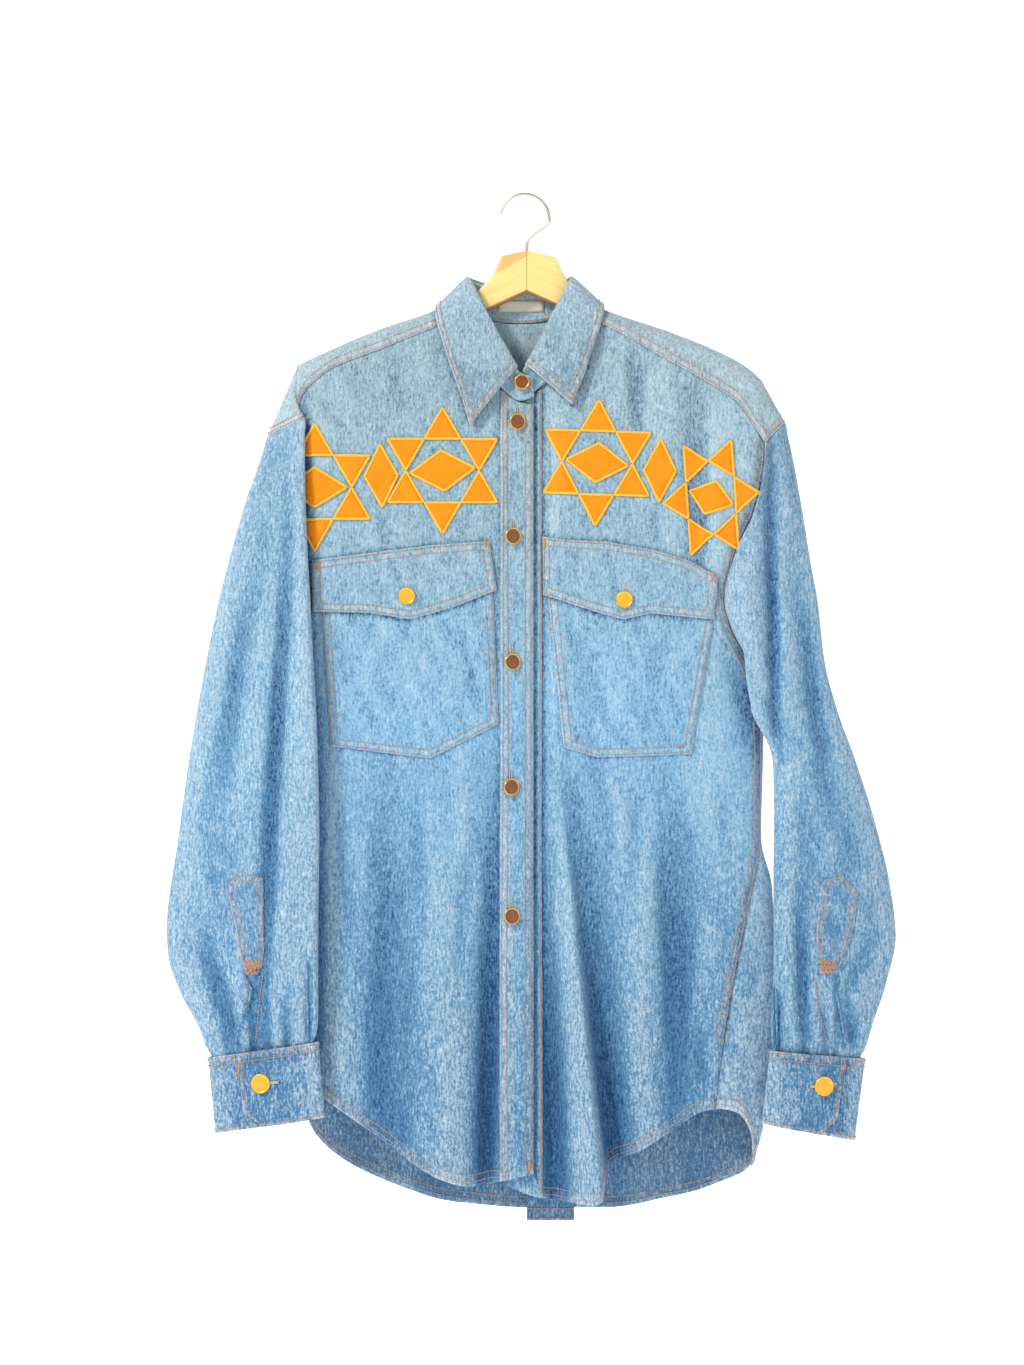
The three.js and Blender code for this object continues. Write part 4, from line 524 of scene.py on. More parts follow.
# A closed wall on a grid whose rows run down and whose columns run to the right, as seen from outside.
# lift and thick may be one number or one for each point. The outer rim is drawn in a little, as a turned edge is.
def makeWall(name, grid, lift=0.0, thick=1.2, fade=None, rim=0.35):
    rows, columns = grid.shape[:2]
    normals = gridNormals(grid)
    shape = (rows, columns)
    lift = np.broadcast_to(np.asarray(lift, float), shape).copy()
    thick = np.broadcast_to(np.asarray(thick, float), shape)
    inner = grid + normals * (lift - thick)[..., None]
    lift[0], lift[-1], lift[:, 0], lift[:, -1] = (edge - rim for edge in (lift[0], lift[-1], lift[:, 0], lift[:, -1]))
    outer = grid + normals * lift[..., None]
    points = np.concatenate([outer.reshape(-1, 3), inner.reshape(-1, 3)])
    index = np.arange(rows * columns).reshape(shape)
    a, b, c, d = index[:-1, :-1], index[1:, :-1], index[1:, 1:], index[:-1, 1:]
    n = rows * columns
    faces = [np.stack([a, b, c, d], -1).reshape(-1, 4), np.stack([a + n, d + n, c + n, b + n], -1).reshape(-1, 4)]
    loop = np.concatenate([index[0, :-1], index[:-1, -1], index[-1, :0:-1], index[:0:-1, 0]])
    after = np.roll(loop, -1)
    faces.append(np.stack([loop, after, after + n, loop + n], -1))
    fade = np.zeros(shape) if fade is None else np.broadcast_to(fade, shape)
    marks = {"fade": np.concatenate([fade.ravel(), fade.ravel() * 0.3]), "inside": np.repeat([0.0, 1.0], n)}
    return makeMesh(name, points, np.concatenate(faces).tolist(), marks)


def insidePolygon(outline, x, z):
    inside = np.zeros(x.shape, bool)
    for (ax, az), (bx, bz) in zip(outline, np.roll(outline, -1, axis=0)):
        crosses = (az > z) != (bz > z)
        inside ^= crosses & (x < (bx - ax) * (z - az) / (bz - az + 1e-12) + ax)
    return inside


# A surface's points and normals over places in the picture
def onSkin(skin, x, z, lift=0.0):
    step = 0.6
    point = np.stack([x, skin(x, z), z], axis=-1)
    slopeX = (skin(x + step, z) - skin(x - step, z)) / (2 * step)
    slopeZ = (skin(x, z + step) - skin(x, z - step)) / (2 * step)
    normal = unit(np.stack([slopeX, -np.ones_like(slopeX), slopeZ], axis=-1))
    return point + normal * np.broadcast_to(lift, x.shape)[..., None], normal


# An outline that runs round to the left, whichever way it was given
def leftward(outline):
    outline = np.asarray(outline, float)
    turn = np.cross(outline - np.roll(outline, 1, 0), np.roll(outline, -1, 0) - outline).sum()
    return outline[::-1] if turn < 0 else outline


# A piece of any outline that lies on a surface
def makePatch(name, outline, skin, lift, thick, step=3.5, rim=0.4, fullness=0.0, fade=None, gathers=None):
    outline = leftward(outline)
    edge = []
    for start, end in zip(outline, np.roll(outline, -1, axis=0)):
        count = max(1, round(np.linalg.norm(end - start) / (step * 0.7)))
        edge += [start + (end - start) * k / count for k in range(count)]
    edge = np.array(edge)
    closed = [tuple(p) for p in edge] + [tuple(edge[0])]
    low, high = outline.min(0), outline.max(0)
    gx, gz = np.meshgrid(np.arange(low[0], high[0], step), np.arange(low[1], high[1], step * 0.87))
    gx = gx + (np.arange(gx.shape[0]) % 2)[:, None] * step / 2
    gx, gz = gx.ravel(), gz.ravel()
    keep = insidePolygon(outline, gx, gz)
    gx, gz = gx[keep], gz[keep]
    distance = nearLine(closed, gx, gz)[0]
    gx, gz = gx[distance > step * 0.55], gz[distance > step * 0.55]
    flat = np.concatenate([edge, np.stack([gx, gz], -1)])
    n = len(edge)
    ring = [(k, (k + 1) % n) for k in range(n)]
    verts, _, faces, _, _, _ = delaunay_2d_cdt([Vector(p) for p in flat], ring, [list(range(n))], 1, 1e-5)
    flat = np.array([tuple(v) for v in verts])
    tris = np.array([f[:3] for f in faces])
    a, b, c = flat[tris[:, 0]], flat[tris[:, 1]], flat[tris[:, 2]]
    turned = (b[:, 0] - a[:, 0]) * (c[:, 1] - a[:, 1]) - (b[:, 1] - a[:, 1]) * (c[:, 0] - a[:, 0]) < 0
    tris[turned] = tris[turned][:, ::-1]
    x, z = flat[:, 0], flat[:, 1]
    distance, along, _ = nearLine(closed, x, z)
    raised = lift + fullness * smooth(4, 45, distance)
    if gathers:
        raised = raised + gathers * puckers(along, distance - 4, 7, len(name))
    outer, normal = onSkin(skin, x, z, raised + thick - rim * (distance < 0.05))
    inner = outer - normal * thick
    m = len(flat)
    loop = np.arange(n)
    after = np.roll(loop, -1)
    sides = np.stack([loop, loop + m, after + m, after], -1)
    faces = tris.tolist() + (tris[:, ::-1] + m).tolist() + sides.tolist()
    fade = np.zeros(m) if fade is None else fade(x, z, distance, along)
    marks = {"fade": np.concatenate([fade, fade * 0.3]), "inside": np.repeat([0.0, 1.0], m)}
    return makeMesh(name, np.concatenate([outer, inner]), faces, marks)


# Sewing thread: every stitch is a small spindle that stands a little out of the cloth
stitchSize = {"length": 2.5, "spacing": 3.1, "radius": 0.5, "sides": 5}
threads = {}


def sew(group, points, normals):
    points, normals = np.asarray(points, float), np.asarray(normals, float)
    along = lengthsAlong(points)
    count = int(along[-1] // stitchSize["spacing"])
    if count < 1:
        return
    starts = (np.arange(count) + 0.5) * along[-1] / count

    def at(wanted, values):
        return np.stack([np.interp(wanted, along, values[:, k]) for k in range(3)], -1)

    half = stitchSize["length"] / 2
    centre, normal = at(starts, points), unit(at(starts, normals))
    direction = unit(at(starts + half, points) - at(starts - half, points))
    normal = unit(normal - direction * (normal * direction).sum(-1, keepdims=True))
    aside = np.cross(direction, normal)
    threads.setdefault(group, []).append((centre, direction, normal, aside))


def makeThreads(group, material):
    parts = [np.concatenate(column) for column in zip(*threads[group])]
    centre, direction, normal, aside = parts
    half, radius, sides = stitchSize["length"] / 2, stitchSize["radius"], stitchSize["sides"]
    rings = [(-1.0, 0.45, -0.2), (-0.45, 1.0, 0.2), (0.45, 1.0, 0.2), (1.0, 0.45, -0.2)]
    points = []
    for along, wide, up in rings:
        for k in range(sides):
            angle = 2 * math.pi * k / sides
            points.append(
                centre + direction * (along * half) + normal * ((up + wide * math.cos(angle)) * radius)
                + aside * (wide * math.sin(angle) * radius))
    points = np.stack(points, axis=1)
    faces = tubeFaces(len(rings), sides, turned=True)
    base = (np.arange(len(centre)) * points.shape[1])[:, None, None]
    quads = (np.array(faces[:-2])[None] + base).reshape(-1, 4).tolist()
    ends = (np.array(faces[-2:])[None] + base).reshape(-1, sides).tolist()
    obj = makeMesh(f"stitches_{group}", points.reshape(-1, 3), quads + ends)
    return finishPiece(obj, material, "denim")


# A line in the picture moved sideways: to its left as it runs, or into a closed outline that runs round to the left
def moved(line, distance, closed=False):
    line = np.asarray(line, float)
    before = np.roll(line, 1, axis=0)
    after = np.roll(line, -1, axis=0)
    if not closed:
        before[0], after[-1] = line[0] - (line[1] - line[0]), line[-1] + (line[-1] - line[-2])
    first, second = unit(line - before), unit(after - line)
    left = np.stack([-first[:, 1], first[:, 0]], -1) + np.stack([-second[:, 1], second[:, 0]], -1)
    left = unit(left)
    spread = np.maximum((left * np.stack([-first[:, 1], first[:, 0]], -1)).sum(-1, keepdims=True), 0.45)
    return line + left * distance / spread


def sewOn(group, skin, line, lift, offsets=(0,), closed=False):
    line = leftward(line) if closed else np.asarray(line, float)
    for offset in offsets:
        shifted = moved(line, offset, closed)
        if closed:
            shifted = np.concatenate([shifted, shifted[:1]])
        shifted = spaced(shifted, 3)
        points, normals = onSkin(skin, shifted[:, 0], shifted[:, 1], lift)
        sew(group, points, normals)


# A row of stitches at a distance from a grid's top, bottom, first or last edge
def sewGrid(group, grid, lift, edge, inset, start=0.0, end=1.0):
    normals = gridNormals(grid)
    lifted = grid + normals * lift
    if edge in ("top", "bottom"):
        lifted, normals = np.swapaxes(lifted, 0, 1), np.swapaxes(normals, 0, 1)
    lengths = np.linalg.norm(np.diff(lifted, axis=1), axis=-1)
    sums = np.concatenate([np.zeros((len(lifted), 1)), np.cumsum(lengths, axis=1)], axis=1)
    wanted = sums[:, -1] - inset if edge in ("bottom", "last") else sums[:, 0] + inset
    line, faces = [], []
    for k in range(len(lifted)):
        line.append([np.interp(wanted[k], sums[k], lifted[k, :, c]) for c in range(3)])
        faces.append([np.interp(wanted[k], sums[k], normals[k, :, c]) for c in range(3)])
    low, high = round(start * (len(line) - 1)), round(end * (len(line) - 1)) + 1
    sew(group, line[low:high], faces[low:high])


# Fronts: columns run down the cloth as (x above the leaning stretch, x below it, share that keeps to the side edge)
seamGap = 0.05
rightFrontColumns = [
    (-216, -216, 1), (-180, -180, 0.93), (-180, -180, 0.72), (-180, -176, 0.3), (-162, -156, 0), (-138, -134, 0),
    (-112, -106, 0), (-88, -78, 0), (-72, -62, 0), (-50, -50, 0), (-36, -43, 0), (-29.5, -36, 0),
    (placketLeft, placketLeft, 0), (3.5, 3.5, 0)]
leftFrontColumns = [
    (underlap, underlap, 0), (5, 5, 0), (12.5, 12.5, 0), (15.5, 25, 0), (18, 38, 0), (20, 52, 0), (22, 63, 0),
    (24, 70, 0), (28, 74, 0), (33, 79, 0), (45, 90, 0), (62, 102, 0), (84, 117, 0), (104, 130, 0), (122, 142, 0),
    (130, 146, 0.35), (130, 150, 0.65), (130, 150, 0.88), (130, 150, 1)]


def leftSideAt(z):
    above = z > leftSleeve["underarm"]
    return np.where(above, follow(leftSleeve["armhole"], "z", "x", z), follow(bodyRows, "z", "left", z))


def rightSideAt(z):
    above = z > rightSleeve["underarm"]
    return np.where(above, follow(rightSleeve["armhole"], "z", "x", z), follow(rightSideSeam, "z", "x", z))


def fineColumns(columns, step=fineStep):
    parts = []
    for first, second in zip(np.array(columns, float)[:-1], np.array(columns, float)[1:]):
        if first[2] == 1:  # round the side fold the places crowd towards the edge
            share = (np.arange(12) / 12) ** 8
        else:
            width = np.abs(second[:2] - first[:2]).max() + 35 * abs(second[2] - first[2])
            count = max(1, round(width / step))
            share = np.arange(count) / count
        parts.append(first + (second - first) * share[:, None])
    parts.append(np.array(columns, float)[-1:])
    return np.concatenate(parts)


def frontPanel(columns, surface, side, top, hem, step=fineStep):
    columns = fineColumns(columns)

    def xAt(z):
        down = np.clip((bend["top"] - z) / (bend["top"] - bend["low"]), 0, 1)
        return mixed(mixed(columns[:, 0], columns[:, 1], down), side(z), columns[:, 2])

    def settle(edge, z):
        z = np.full(len(columns), float(z))
        for _ in range(24):
            z = mixed(z, edge(xAt(z)), 0.6)
        return z

    first, last = settle(top, -200), settle(hem, -900)
    rows = round((first - last).max() / step)
    grid = [surface(xAt(z), z) for z in (mixed(first, last, j / rows) for j in range(rows + 1))]
    return np.array(grid)


def edgeOf(rows, gap=0.0):
    return lambda x: follow(rows, "x", "z", x) - gap


rightSide = (rightSurface, leftSideAt, edgeOf(rightFrontTop, seamGap), edgeOf(rightFrontHem))
leftSide = (leftSurface, rightSideAt, edgeOf(leftFrontTop, seamGap), edgeOf(leftFrontHem))
rightFrontGrid = frontPanel(rightFrontColumns, *rightSide)
leftFrontGrid = frontPanel(leftFrontColumns, *leftSide)
placketGrid = frontPanel([(placketLeft, placketLeft, 0), (placketRight, placketRight, 0)], *rightSide, placketStep)
bandGrid = frontPanel([(underlap, underlap, 0), (bandRight, bandRight, 0)], *leftSide)
print("fronts", rightFrontGrid.shape, leftFrontGrid.shape)


def backGrid(step=4.0, dense=400, sideGap=0.002):
    def places(z, count):
        low, high = placeOf(rightSideAt(z), z), 3
        if z > rightSleeve["underarm"]:
            low = follow(rightSleeve["backArmhole"], "z", "s", z)
        if z > leftSleeve["underarm"]:
            high = follow(leftSleeve["backArmhole"], "z", "s", z)
        s = np.linspace(float(low + sideGap), float(high - sideGap), dense)
        line = bodyPoint(s, np.full(dense, z), relief=False)
        along = lengthsAlong(line)
        return np.interp(np.linspace(0, along[-1], count), along, s), along[-1]

    columns = round(places(-600, 2)[1] / step)
    known = {}

    def placesAt(z):
        key = round(float(z), 1)
        if key not in known:
            known[key] = places(key, columns + 1)[0]
        return known[key]

    low = np.full(columns + 1, -930.0)
    for _ in range(12):
        wanted = np.array([follow(backHem, "s", "z", placesAt(z)[i]) for i, z in enumerate(low)])
        low = mixed(low, wanted, 0.6)
    rows = round((backYokeSeam - low.min()) / step)
    levels = np.linspace(backYokeSeam, low.min(), 90)
    byLevel = np.array([placesAt(z) for z in levels])
    grid = []
    for j in range(rows + 1):
        z = mixed(backYokeSeam - seamGap, low, j / rows)
        s = np.array([np.interp(-z[i], -levels, byLevel[:, i]) for i in range(columns + 1)])
        grid.append(bodyPoint(s, z))
    return np.array(grid)


pleat = {"middle": 21.5, "half": 22.5, "top": backYokeSeam - 4, "hem": -975, "rows": 190, "columns": 12}


def pleatGrid():
    x, z = np.meshgrid(pleat["middle"] - np.linspace(-1, 1, pleat["columns"] + 1) * pleat["half"],
                       np.linspace(pleat["top"], pleat["hem"], pleat["rows"] + 1))
    y = bodyPoint(2 - placeOf(x, z), z)[..., 1] - 1.2 - 1.6  # under the back's cloth and a gap
    return np.stack([x, y, z], axis=-1)


backCloth, pleatCloth = backGrid(), pleatGrid()
print("back", backCloth.shape)


# Sleeves, as rings round the arm from the front seam over the inner fold, the front and the outer fold
sleeveEndAngle, seamAngle = 306, -42
gatherZ = -822.0  # the sleeves' gathers grow towards this height
degree = math.pi / 180
sleeves = {"left": (leftSleeve, leftSleeveCreases, 11), "right": (rightSleeve, rightSleeveCreases, 17)}


def sleeveRing(side, angle, z):
    sleeve, creases, seed = sleeves[side]
    get = {name: float(follow(sleeve["rows"], "z", name, z)) for name in sleeve["rows"]}
    share = (1 - np.cos(angle)) / 2
    x = mixed(get["inner"], get["outer"], share)
    tilt = get["tilt"] * (1 - 2 * share)
    rounding = np.abs(np.sin(angle)) ** sleeveFlatness
    middle = mixed(get["innerY"], get["outerY"], share)
    small = creaseHeight(creases, x, z) + unevenness(x, z, seed)
    small = small + 1.1 * puckers(x + z * 0.2, np.full(x.shape, z - gatherZ), 26, seed)
    front = get["front"] + foldHeight(sleeve["folds"], x, z) + small
    outward = sleeve["outward"] * (x - get["inner"])
    behind = creaseHeight(sleeveBackCreases, outward, z) + unevenness(x, z, seed + 1)
    behind = behind + 1.0 * puckers(x, np.full(x.shape, z - gatherZ), 26, seed + 2)
    y = middle + np.where(np.sin(angle) > 0, -front, get["back"] + behind) * rounding
    return np.stack([x, y, z + tilt], axis=-1)


def sleeveRow(side, z, counts, dense=90):
    sleeve = sleeves[side][0]
    below = float(smooth(sleeve["underarm"] + 50, sleeve["underarm"] - 60, z))
    start = mixed(sleeve["startAngle"], seamAngle, below)
    end = mixed(sleeveEndAngle, 359.6 + seamAngle, below)
    bounds = [start, max(0, start + 14), 180, end]
    hold = 1 - float(smooth(sleeve["underarm"], sleeve["underarm"] - 70, z))
    down = min(max((sleeve["top"] - z) / (sleeve["top"] - sleeve["underarm"]), 0), 1)
    seamZ = mixed(sleeve["armhole"]["z"][0], sleeve["underarm"], down)
    backZ = mixed(sleeve["backArmhole"]["z"][0], sleeve["underarm"], down)
    seamX = follow(sleeve["armhole"], "z", "x", seamZ)
    frontSeam = bodyPoint(placeOf(seamX, seamZ), seamZ, relief=False)
    backSeam = bodyPoint(follow(sleeve["backArmhole"], "z", "s", backZ), backZ, relief=False)
    frontSeam = frontSeam + (sleeve["outward"] * 0.3, -1.2 * below, 0)
    backSeam = backSeam + (sleeve["outward"] * 0.3, 1.2 * float(smooth(-300, sleeve["underarm"], z)), 0)
    firstPull = (frontSeam - sleeveRing(side, np.array([start * degree]), z)[0]) * hold
    lastPull = (backSeam - sleeveRing(side, np.array([end * degree]), z)[0]) * hold
    lines = []
    for k in range(len(counts)):
        angle = np.linspace(bounds[k], bounds[k + 1], dense)
        if k == 1:
            angle = mixed(bounds[k], bounds[k + 1], (1 - np.cos(np.linspace(0, math.pi, dense))) / 2)
        share = (angle - start) / (end - start)
        line = sleeveRing(side, angle * degree, z)
        line = line + firstPull * (1 - smooth(0, sleeve["pullReach"], share))[:, None]
        lines.append(line + lastPull * smooth(0.74, 1, share)[:, None])
    return joined(lines, counts)


def sleeveGrid(side, rows=192, counts=(6, 46, 40)):
    sleeve = sleeves[side][0]
    heights = np.linspace(sleeve["top"], sleeve["cuff"], rows + 1)
    grid = np.array([sleeveRow(side, float(z), counts) for z in heights])
    return grid[:, ::-1] if side == "left" else grid


sleeveGrids = {side: sleeveGrid(side) for side in sleeves}
print("sleeves", sleeveGrids["left"].shape)

cuffs = {
    "left": {"inner": -197, "outer": -302, "innerLow": -191, "outerLow": -295, "innerY": -41, "outerY": -24,
             "topInner": -798.5, "topOuter": -815, "lowInner": -869.5, "lowOuter": -886, "lap": 0.276},
    "right": {"inner": 227, "outer": 318, "innerLow": 219, "outerLow": 308, "innerY": -42, "outerY": -24,
              "topInner": -806.6, "topOuter": -816, "lowInner": -875, "lowOuter": -893, "lap": 0.22},
}
cuffDepth, cuffLap = 9.5, 2.2


def cuffPoint(side, angle, v, over=0.0):
    c = cuffs[side]
    share = (1 - np.cos(angle)) / 2
    rounding = np.abs(np.sin(angle)) ** sleeveFlatness
    x = mixed(mixed(c["inner"], c["innerLow"], v), mixed(c["outer"], c["outerLow"], v), share)
    z = mixed(mixed(c["topInner"], c["topOuter"], share), mixed(c["lowInner"], c["lowOuter"], share), v) - 0.8
    small = 0.5 * puckers(x, np.abs(v - 0.05) * 72, 9, 70) + 0.4 * puckers(x, np.abs(v - 0.97) * 72, 8, 71)
    small = small + unevenness(x, z, 73, 0.3)
    reach = np.where(np.sin(angle) > 0, -(cuffDepth + over) - small, cuffDepth + small)
    y = mixed(c["innerY"], c["outerY"], share) + reach * rounding
    return np.stack(np.broadcast_arrays(x, y, z), axis=-1)


def cuffGrid(side, rows=24, counts=(28, 34, 18), dense=120):
    grid = []
    for v in np.linspace(0, 1, rows + 1):
        corner = 0.16 * min(max((v - 0.76) / 0.24, 0), 1)
        start = math.acos(1 - 2 * (1 - cuffs[side]["lap"] - corner))
        end = -2 * math.pi + math.acos(1 - 2 * (1 - cuffs[side]["lap"] - 0.24))
        bounds = [start, 0, -math.pi, end]
        lines = []
        for k in range(len(counts)):
            share = np.linspace(0, 1, dense)
            angle = mixed(bounds[k], bounds[k + 1], share)
            over = cuffLap * smooth(0.3, 1.2, angle) if k == 0 else -1.4 * smooth(0, 0.5, share) * (k == 2)
            lines.append(cuffPoint(side, angle, v, over))
        row = joined(lines, counts)
        grid.append(row if side == "left" else row[::-1])
    return np.array(grid)


cuffGrids = {side: cuffGrid(side) for side in cuffs}

# The yoke: lines from the fronts' upper edges over the crest to the back seam, and from the neck's edge down
crestRows = table(
    "start x z backX", (-213.6, -217.5, -162.5, -224), (-184, -188, -148, -196), (-139, -140.6, -127.3, -146),
    (-100, -100, -113.5, -104), (-88, -88, -108.5, -90), (-72, -72, -101.3, -72), (62, 60, -98.2, 61),
    (72, 72, -107.8, 73), (84, 84, -112.5, 86), (131, 135, -130, 142), (183, 192, -155, 200), (205, 213, -169, 217),
    (220, 231, -189, 226))
neck = {"x": -7, "z": -121, "halfWidth": 59}
yokeRound = 26
yokeFront, yokeBack = 16, 36  # steps before the crest and behind it
yokeCounts = (yokeFront, yokeBack // 2, yokeBack // 2)


def behindCrest(crestX, crestZ, backX, start, dense=160):
    z = mixed(start, backYokeSeam, (np.arange(dense + 1) / dense) ** 1.6)
    d = np.maximum(crestZ - z, 0)
    x = mixed(crestX, backX, smooth(0, 1, d / (crestZ - backYokeSeam)))
    full = bodyPoint(2 - placeOf(x, z), z, relief=False)[:, 1] - shoulderForward(x, z)
    full = full + 0.5 * puckers(x, np.abs(z - backYokeSeam), 9, 52) + unevenness(x, z, 61, 0.5)
    rounding = np.where(d < yokeRound, np.sqrt(np.maximum(1 - (1 - d / yokeRound) ** 2, 0)), 1)
    return np.stack([x, shoulderForward(x, z) + full * rounding, z], axis=-1)


def shoulderLine(start, frontShare=1.0, dense=160):
    crestX, crestZ, backX = (float(follow(crestRows, "start", name, start[0])) for name in ("x", "z", "backX"))
    drop = crestZ - start[2]
    depth = start[1] - float(shoulderForward(start[0], start[2]))
    angle = mixed(math.pi / 2 * frontShare, 0, np.arange(dense + 1) / dense)
    x = mixed(crestX, start[0], 1 - np.cos(angle))
    z = crestZ - drop * (1 - np.cos(angle))
    y = shoulderForward(x, z) + (depth - 1.2 * np.sin(angle) ** 2 * np.cos(angle)) * np.sin(angle)
    behind = behindCrest(crestX, crestZ, backX, crestZ)
    split = int(np.argmax(behind[:, 2] < crestZ - 20))
    return joined([np.stack([x, y, z], axis=-1), behind[:split + 1], behind[split:]], yokeCounts)


def neckEdge(share):
    x = neck["x"] + share * neck["halfWidth"]
    crestZ = -97 - 4.3 * share**2 if share < 0 else -96
    return x, crestZ, min(neck["z"] + 19 * abs(share) ** 2.4, crestZ)


def neckLine(share):
    x, crestZ, neckZ = neckEdge(share)
    line = behindCrest(x, crestZ, x, neckZ)
    split = int(np.argmax(line[:, 2] < min(crestZ - 20, neckZ - 9)))
    edge = int(np.argmax(line[:, 2] < neckZ - 2))
    return joined([line[:edge + 1], line[edge:split + 1], line[split:]], yokeCounts)


# The places on the fronts' upper edges that the yoke is sewn to, and its steps over each sleeve's top
rightTops = [p for p in rightFrontGrid[0] if p[0] < -68]
leftTops = [p for p in leftFrontGrid[0] if 60 < p[0] < 219]
capSteps = (0, 0.2, 0.4, 0.6, 0.8)


def yokeGrid():
    up = np.array([0, 0, 0.1])
    right = [shoulderLine(p + up) for p in rightTops] + [shoulderLine(np.array([-70.7, -15, -121]), 0.32)]
    left = [shoulderLine(np.array([59, -15, -119]), 0.32)] + [shoulderLine(p + up) for p in leftTops]
    shares = np.concatenate([[-1.06, -1.02], np.linspace(-0.98, 0.98, 41), [1.02, 1.06]])
    middle = [neckLine(share) for share in shares]

    def cap(side, line):
        row = sleeveRow(side, sleeves[side][0]["top"], (yokeFront // 3, yokeFront - yokeFront // 3, yokeBack))
        along = unit(np.gradient(row, axis=0))
        away = unit(np.array([0, 0, 1]) - along * along[:, 2:])
        row = row + away * 0.35
        return [mixed(row, line, t) for t in capSteps]

    lines = cap("left", right[0]) + right + middle + left + cap("right", left[-1])[::-1]
    return np.array(lines).swapaxes(0, 1)[::-1]


yokeCloth = yokeGrid()
print("yoke", yokeCloth.shape)

# The collar and its stand by their places from the wearer's right end round the neck to the left one
collarRows = table(
    "rollX rollY rollZ edgeX edgeY edgeZ",
    (-9.2, -21.5, -163.7, -55, -25, -219.5), (-22, -21, -141, -63, -23.5, -193), (-39, -19, -110.2, -71.5, -22.5, -169),
    (-49, -16, -90, -80, -21.5, -143), (-55, -10.5, -79, -86.5, -19, -120), (-56.5, -5, -77, -88, -12.5, -111),
    (-57, 0, -76, -88, -3, -105.4), (-55.5, 5, -76.7, -87, 8, -108.5), (-51.5, 8.5, -78, -83.5, 16, -119),
    (-45, 11, -80, -74, 18.5, -131), (-28, 14, -84, -44, 20, -141), (-7, 15, -86, -7, 21, -144),
    (14, 14, -84, 30, 20, -141), (30, 11, -80, 59, 18.5, -131), (35.5, 8.5, -78, 68.5, 16, -118.5),
    (39.5, 5, -76.5, 72, 8, -108), (41, 0, -75.5, 72.5, -3, -103.8), (40.5, -5, -77.5, 72.5, -12.5, -108.8),
    (38.5, -10.5, -81, 70, -19, -119.5), (30, -16, -99, 62, -21.5, -144), (17, -19, -125, 54, -22.5, -169),
    (4, -21, -149, 46, -23.5, -189), (-2.9, -21.5, -161.5, 41.5, -25, -200))
standRows = table(
    "x y z topX topY topZ",
    (6, -16.6, -192, 4.5, -18.3, -173), (-8, -16.6, -195.8, -7, -19.3, -169.5), (-28, -16.3, -180.8, -21, -18.3, -144),
    (-46, -16, -157, -37, -16.4, -113.5), (-61, -15.5, -133, -46.5, -13.5, -93.5),
    (-69.3, -14.2, -119.8, -52.3, -9, -83),
    (-69, -7.8, -103.2, -53.5, -4.5, -81), (-68.5, 0, -99, -54, 0, -80), (-64.5, 7.5, -100.5, -51, 6, -80.8),
    (-54, 8.6, -107.8, -44, 9, -83), (-34, 9.5, -117.5, -27, 11, -87.5), (-7, 10.8, -120.3, -7, 12, -89.5),
    (20, 9.5, -117.5, 13, 11, -87.5), (40, 8.6, -107.8, 28, 9, -83), (50.5, 7.8, -99.8, 36, 7, -79.6),
    (55, 0, -95.5, 39.4, 0.5, -79), (56, -7.8, -100.3, 39.3, -5, -82), (57.5, -14.2, -117.3, 37.3, -9.5, -86),
    (49, -15.5, -133, 28, -13.5, -102.5), (32.5, -15.5, -156.5, 15, -16.4, -128.5), (13, -13.6, -181, 3, -16.2, -152),
    (-6, -12.4, -195, -6, -15.2, -168))
collarBulge, collarAround = 2.6, 420


def alongRows(rows, names, count):
    steps = np.arange(len(rows[names[0]]), dtype=float)
    keyed = {**rows, "k": steps}
    at = np.linspace(0, steps[-1], count)
    return np.stack([follow(keyed, "k", name, at) for name in names], axis=-1)


def collarGrid(columns=133, rows=25):
    roll = alongRows(collarRows, ("rollX", "rollY", "rollZ"), columns)
    edge = alongRows(collarRows, ("edgeX", "edgeY", "edgeZ"), columns)
    away = np.zeros_like(roll)
    away[:, 0] = np.sign(edge[:, 0] - roll[:, 0]) * 0.3 * (np.abs(edge[:, 0] - roll[:, 0]) > 2)
    away[:, 1] = np.clip(roll[:, 1] / 8, -1, 1)
    around = np.linspace(0, 1, columns) * collarAround
    grid = []
    for v in np.linspace(0, 1, rows) ** 1.25:
        small = unevenness(around, np.full(columns, v * 60), 81, 0.4, 40, 40) * math.sin(math.pi * v)
        small = small + 0.35 * puckers(around, np.full(columns, (1 - v) * 55 - 4), 7, 82)
        grid.append(mixed(roll, edge, v) + away * (collarBulge * math.sin(math.pi * v**0.6) + small)[:, None])
    return np.array(grid)[:, ::-1]


def standGrid(columns=127, rows=11):
    low = alongRows(standRows, ("x", "y", "z"), columns)
    top = alongRows(standRows, ("topX", "topY", "topZ"), columns)
    return np.array([mixed(low, top, v) for v in np.linspace(1, 0, rows)])[:, ::-1]


collarCloth, standCloth = collarGrid(), standGrid()

labelX = np.linspace(-28.5, 15.2, 12)
labelDepth = np.interp(labelX, (-28.5, -7, 15.2), (7.9, 9.1, 7.9))
labelCloth = np.array([np.stack([labelX, labelDepth, np.full(12, z)], axis=-1) for z in (-98.8, -102, -106, -109.2)])

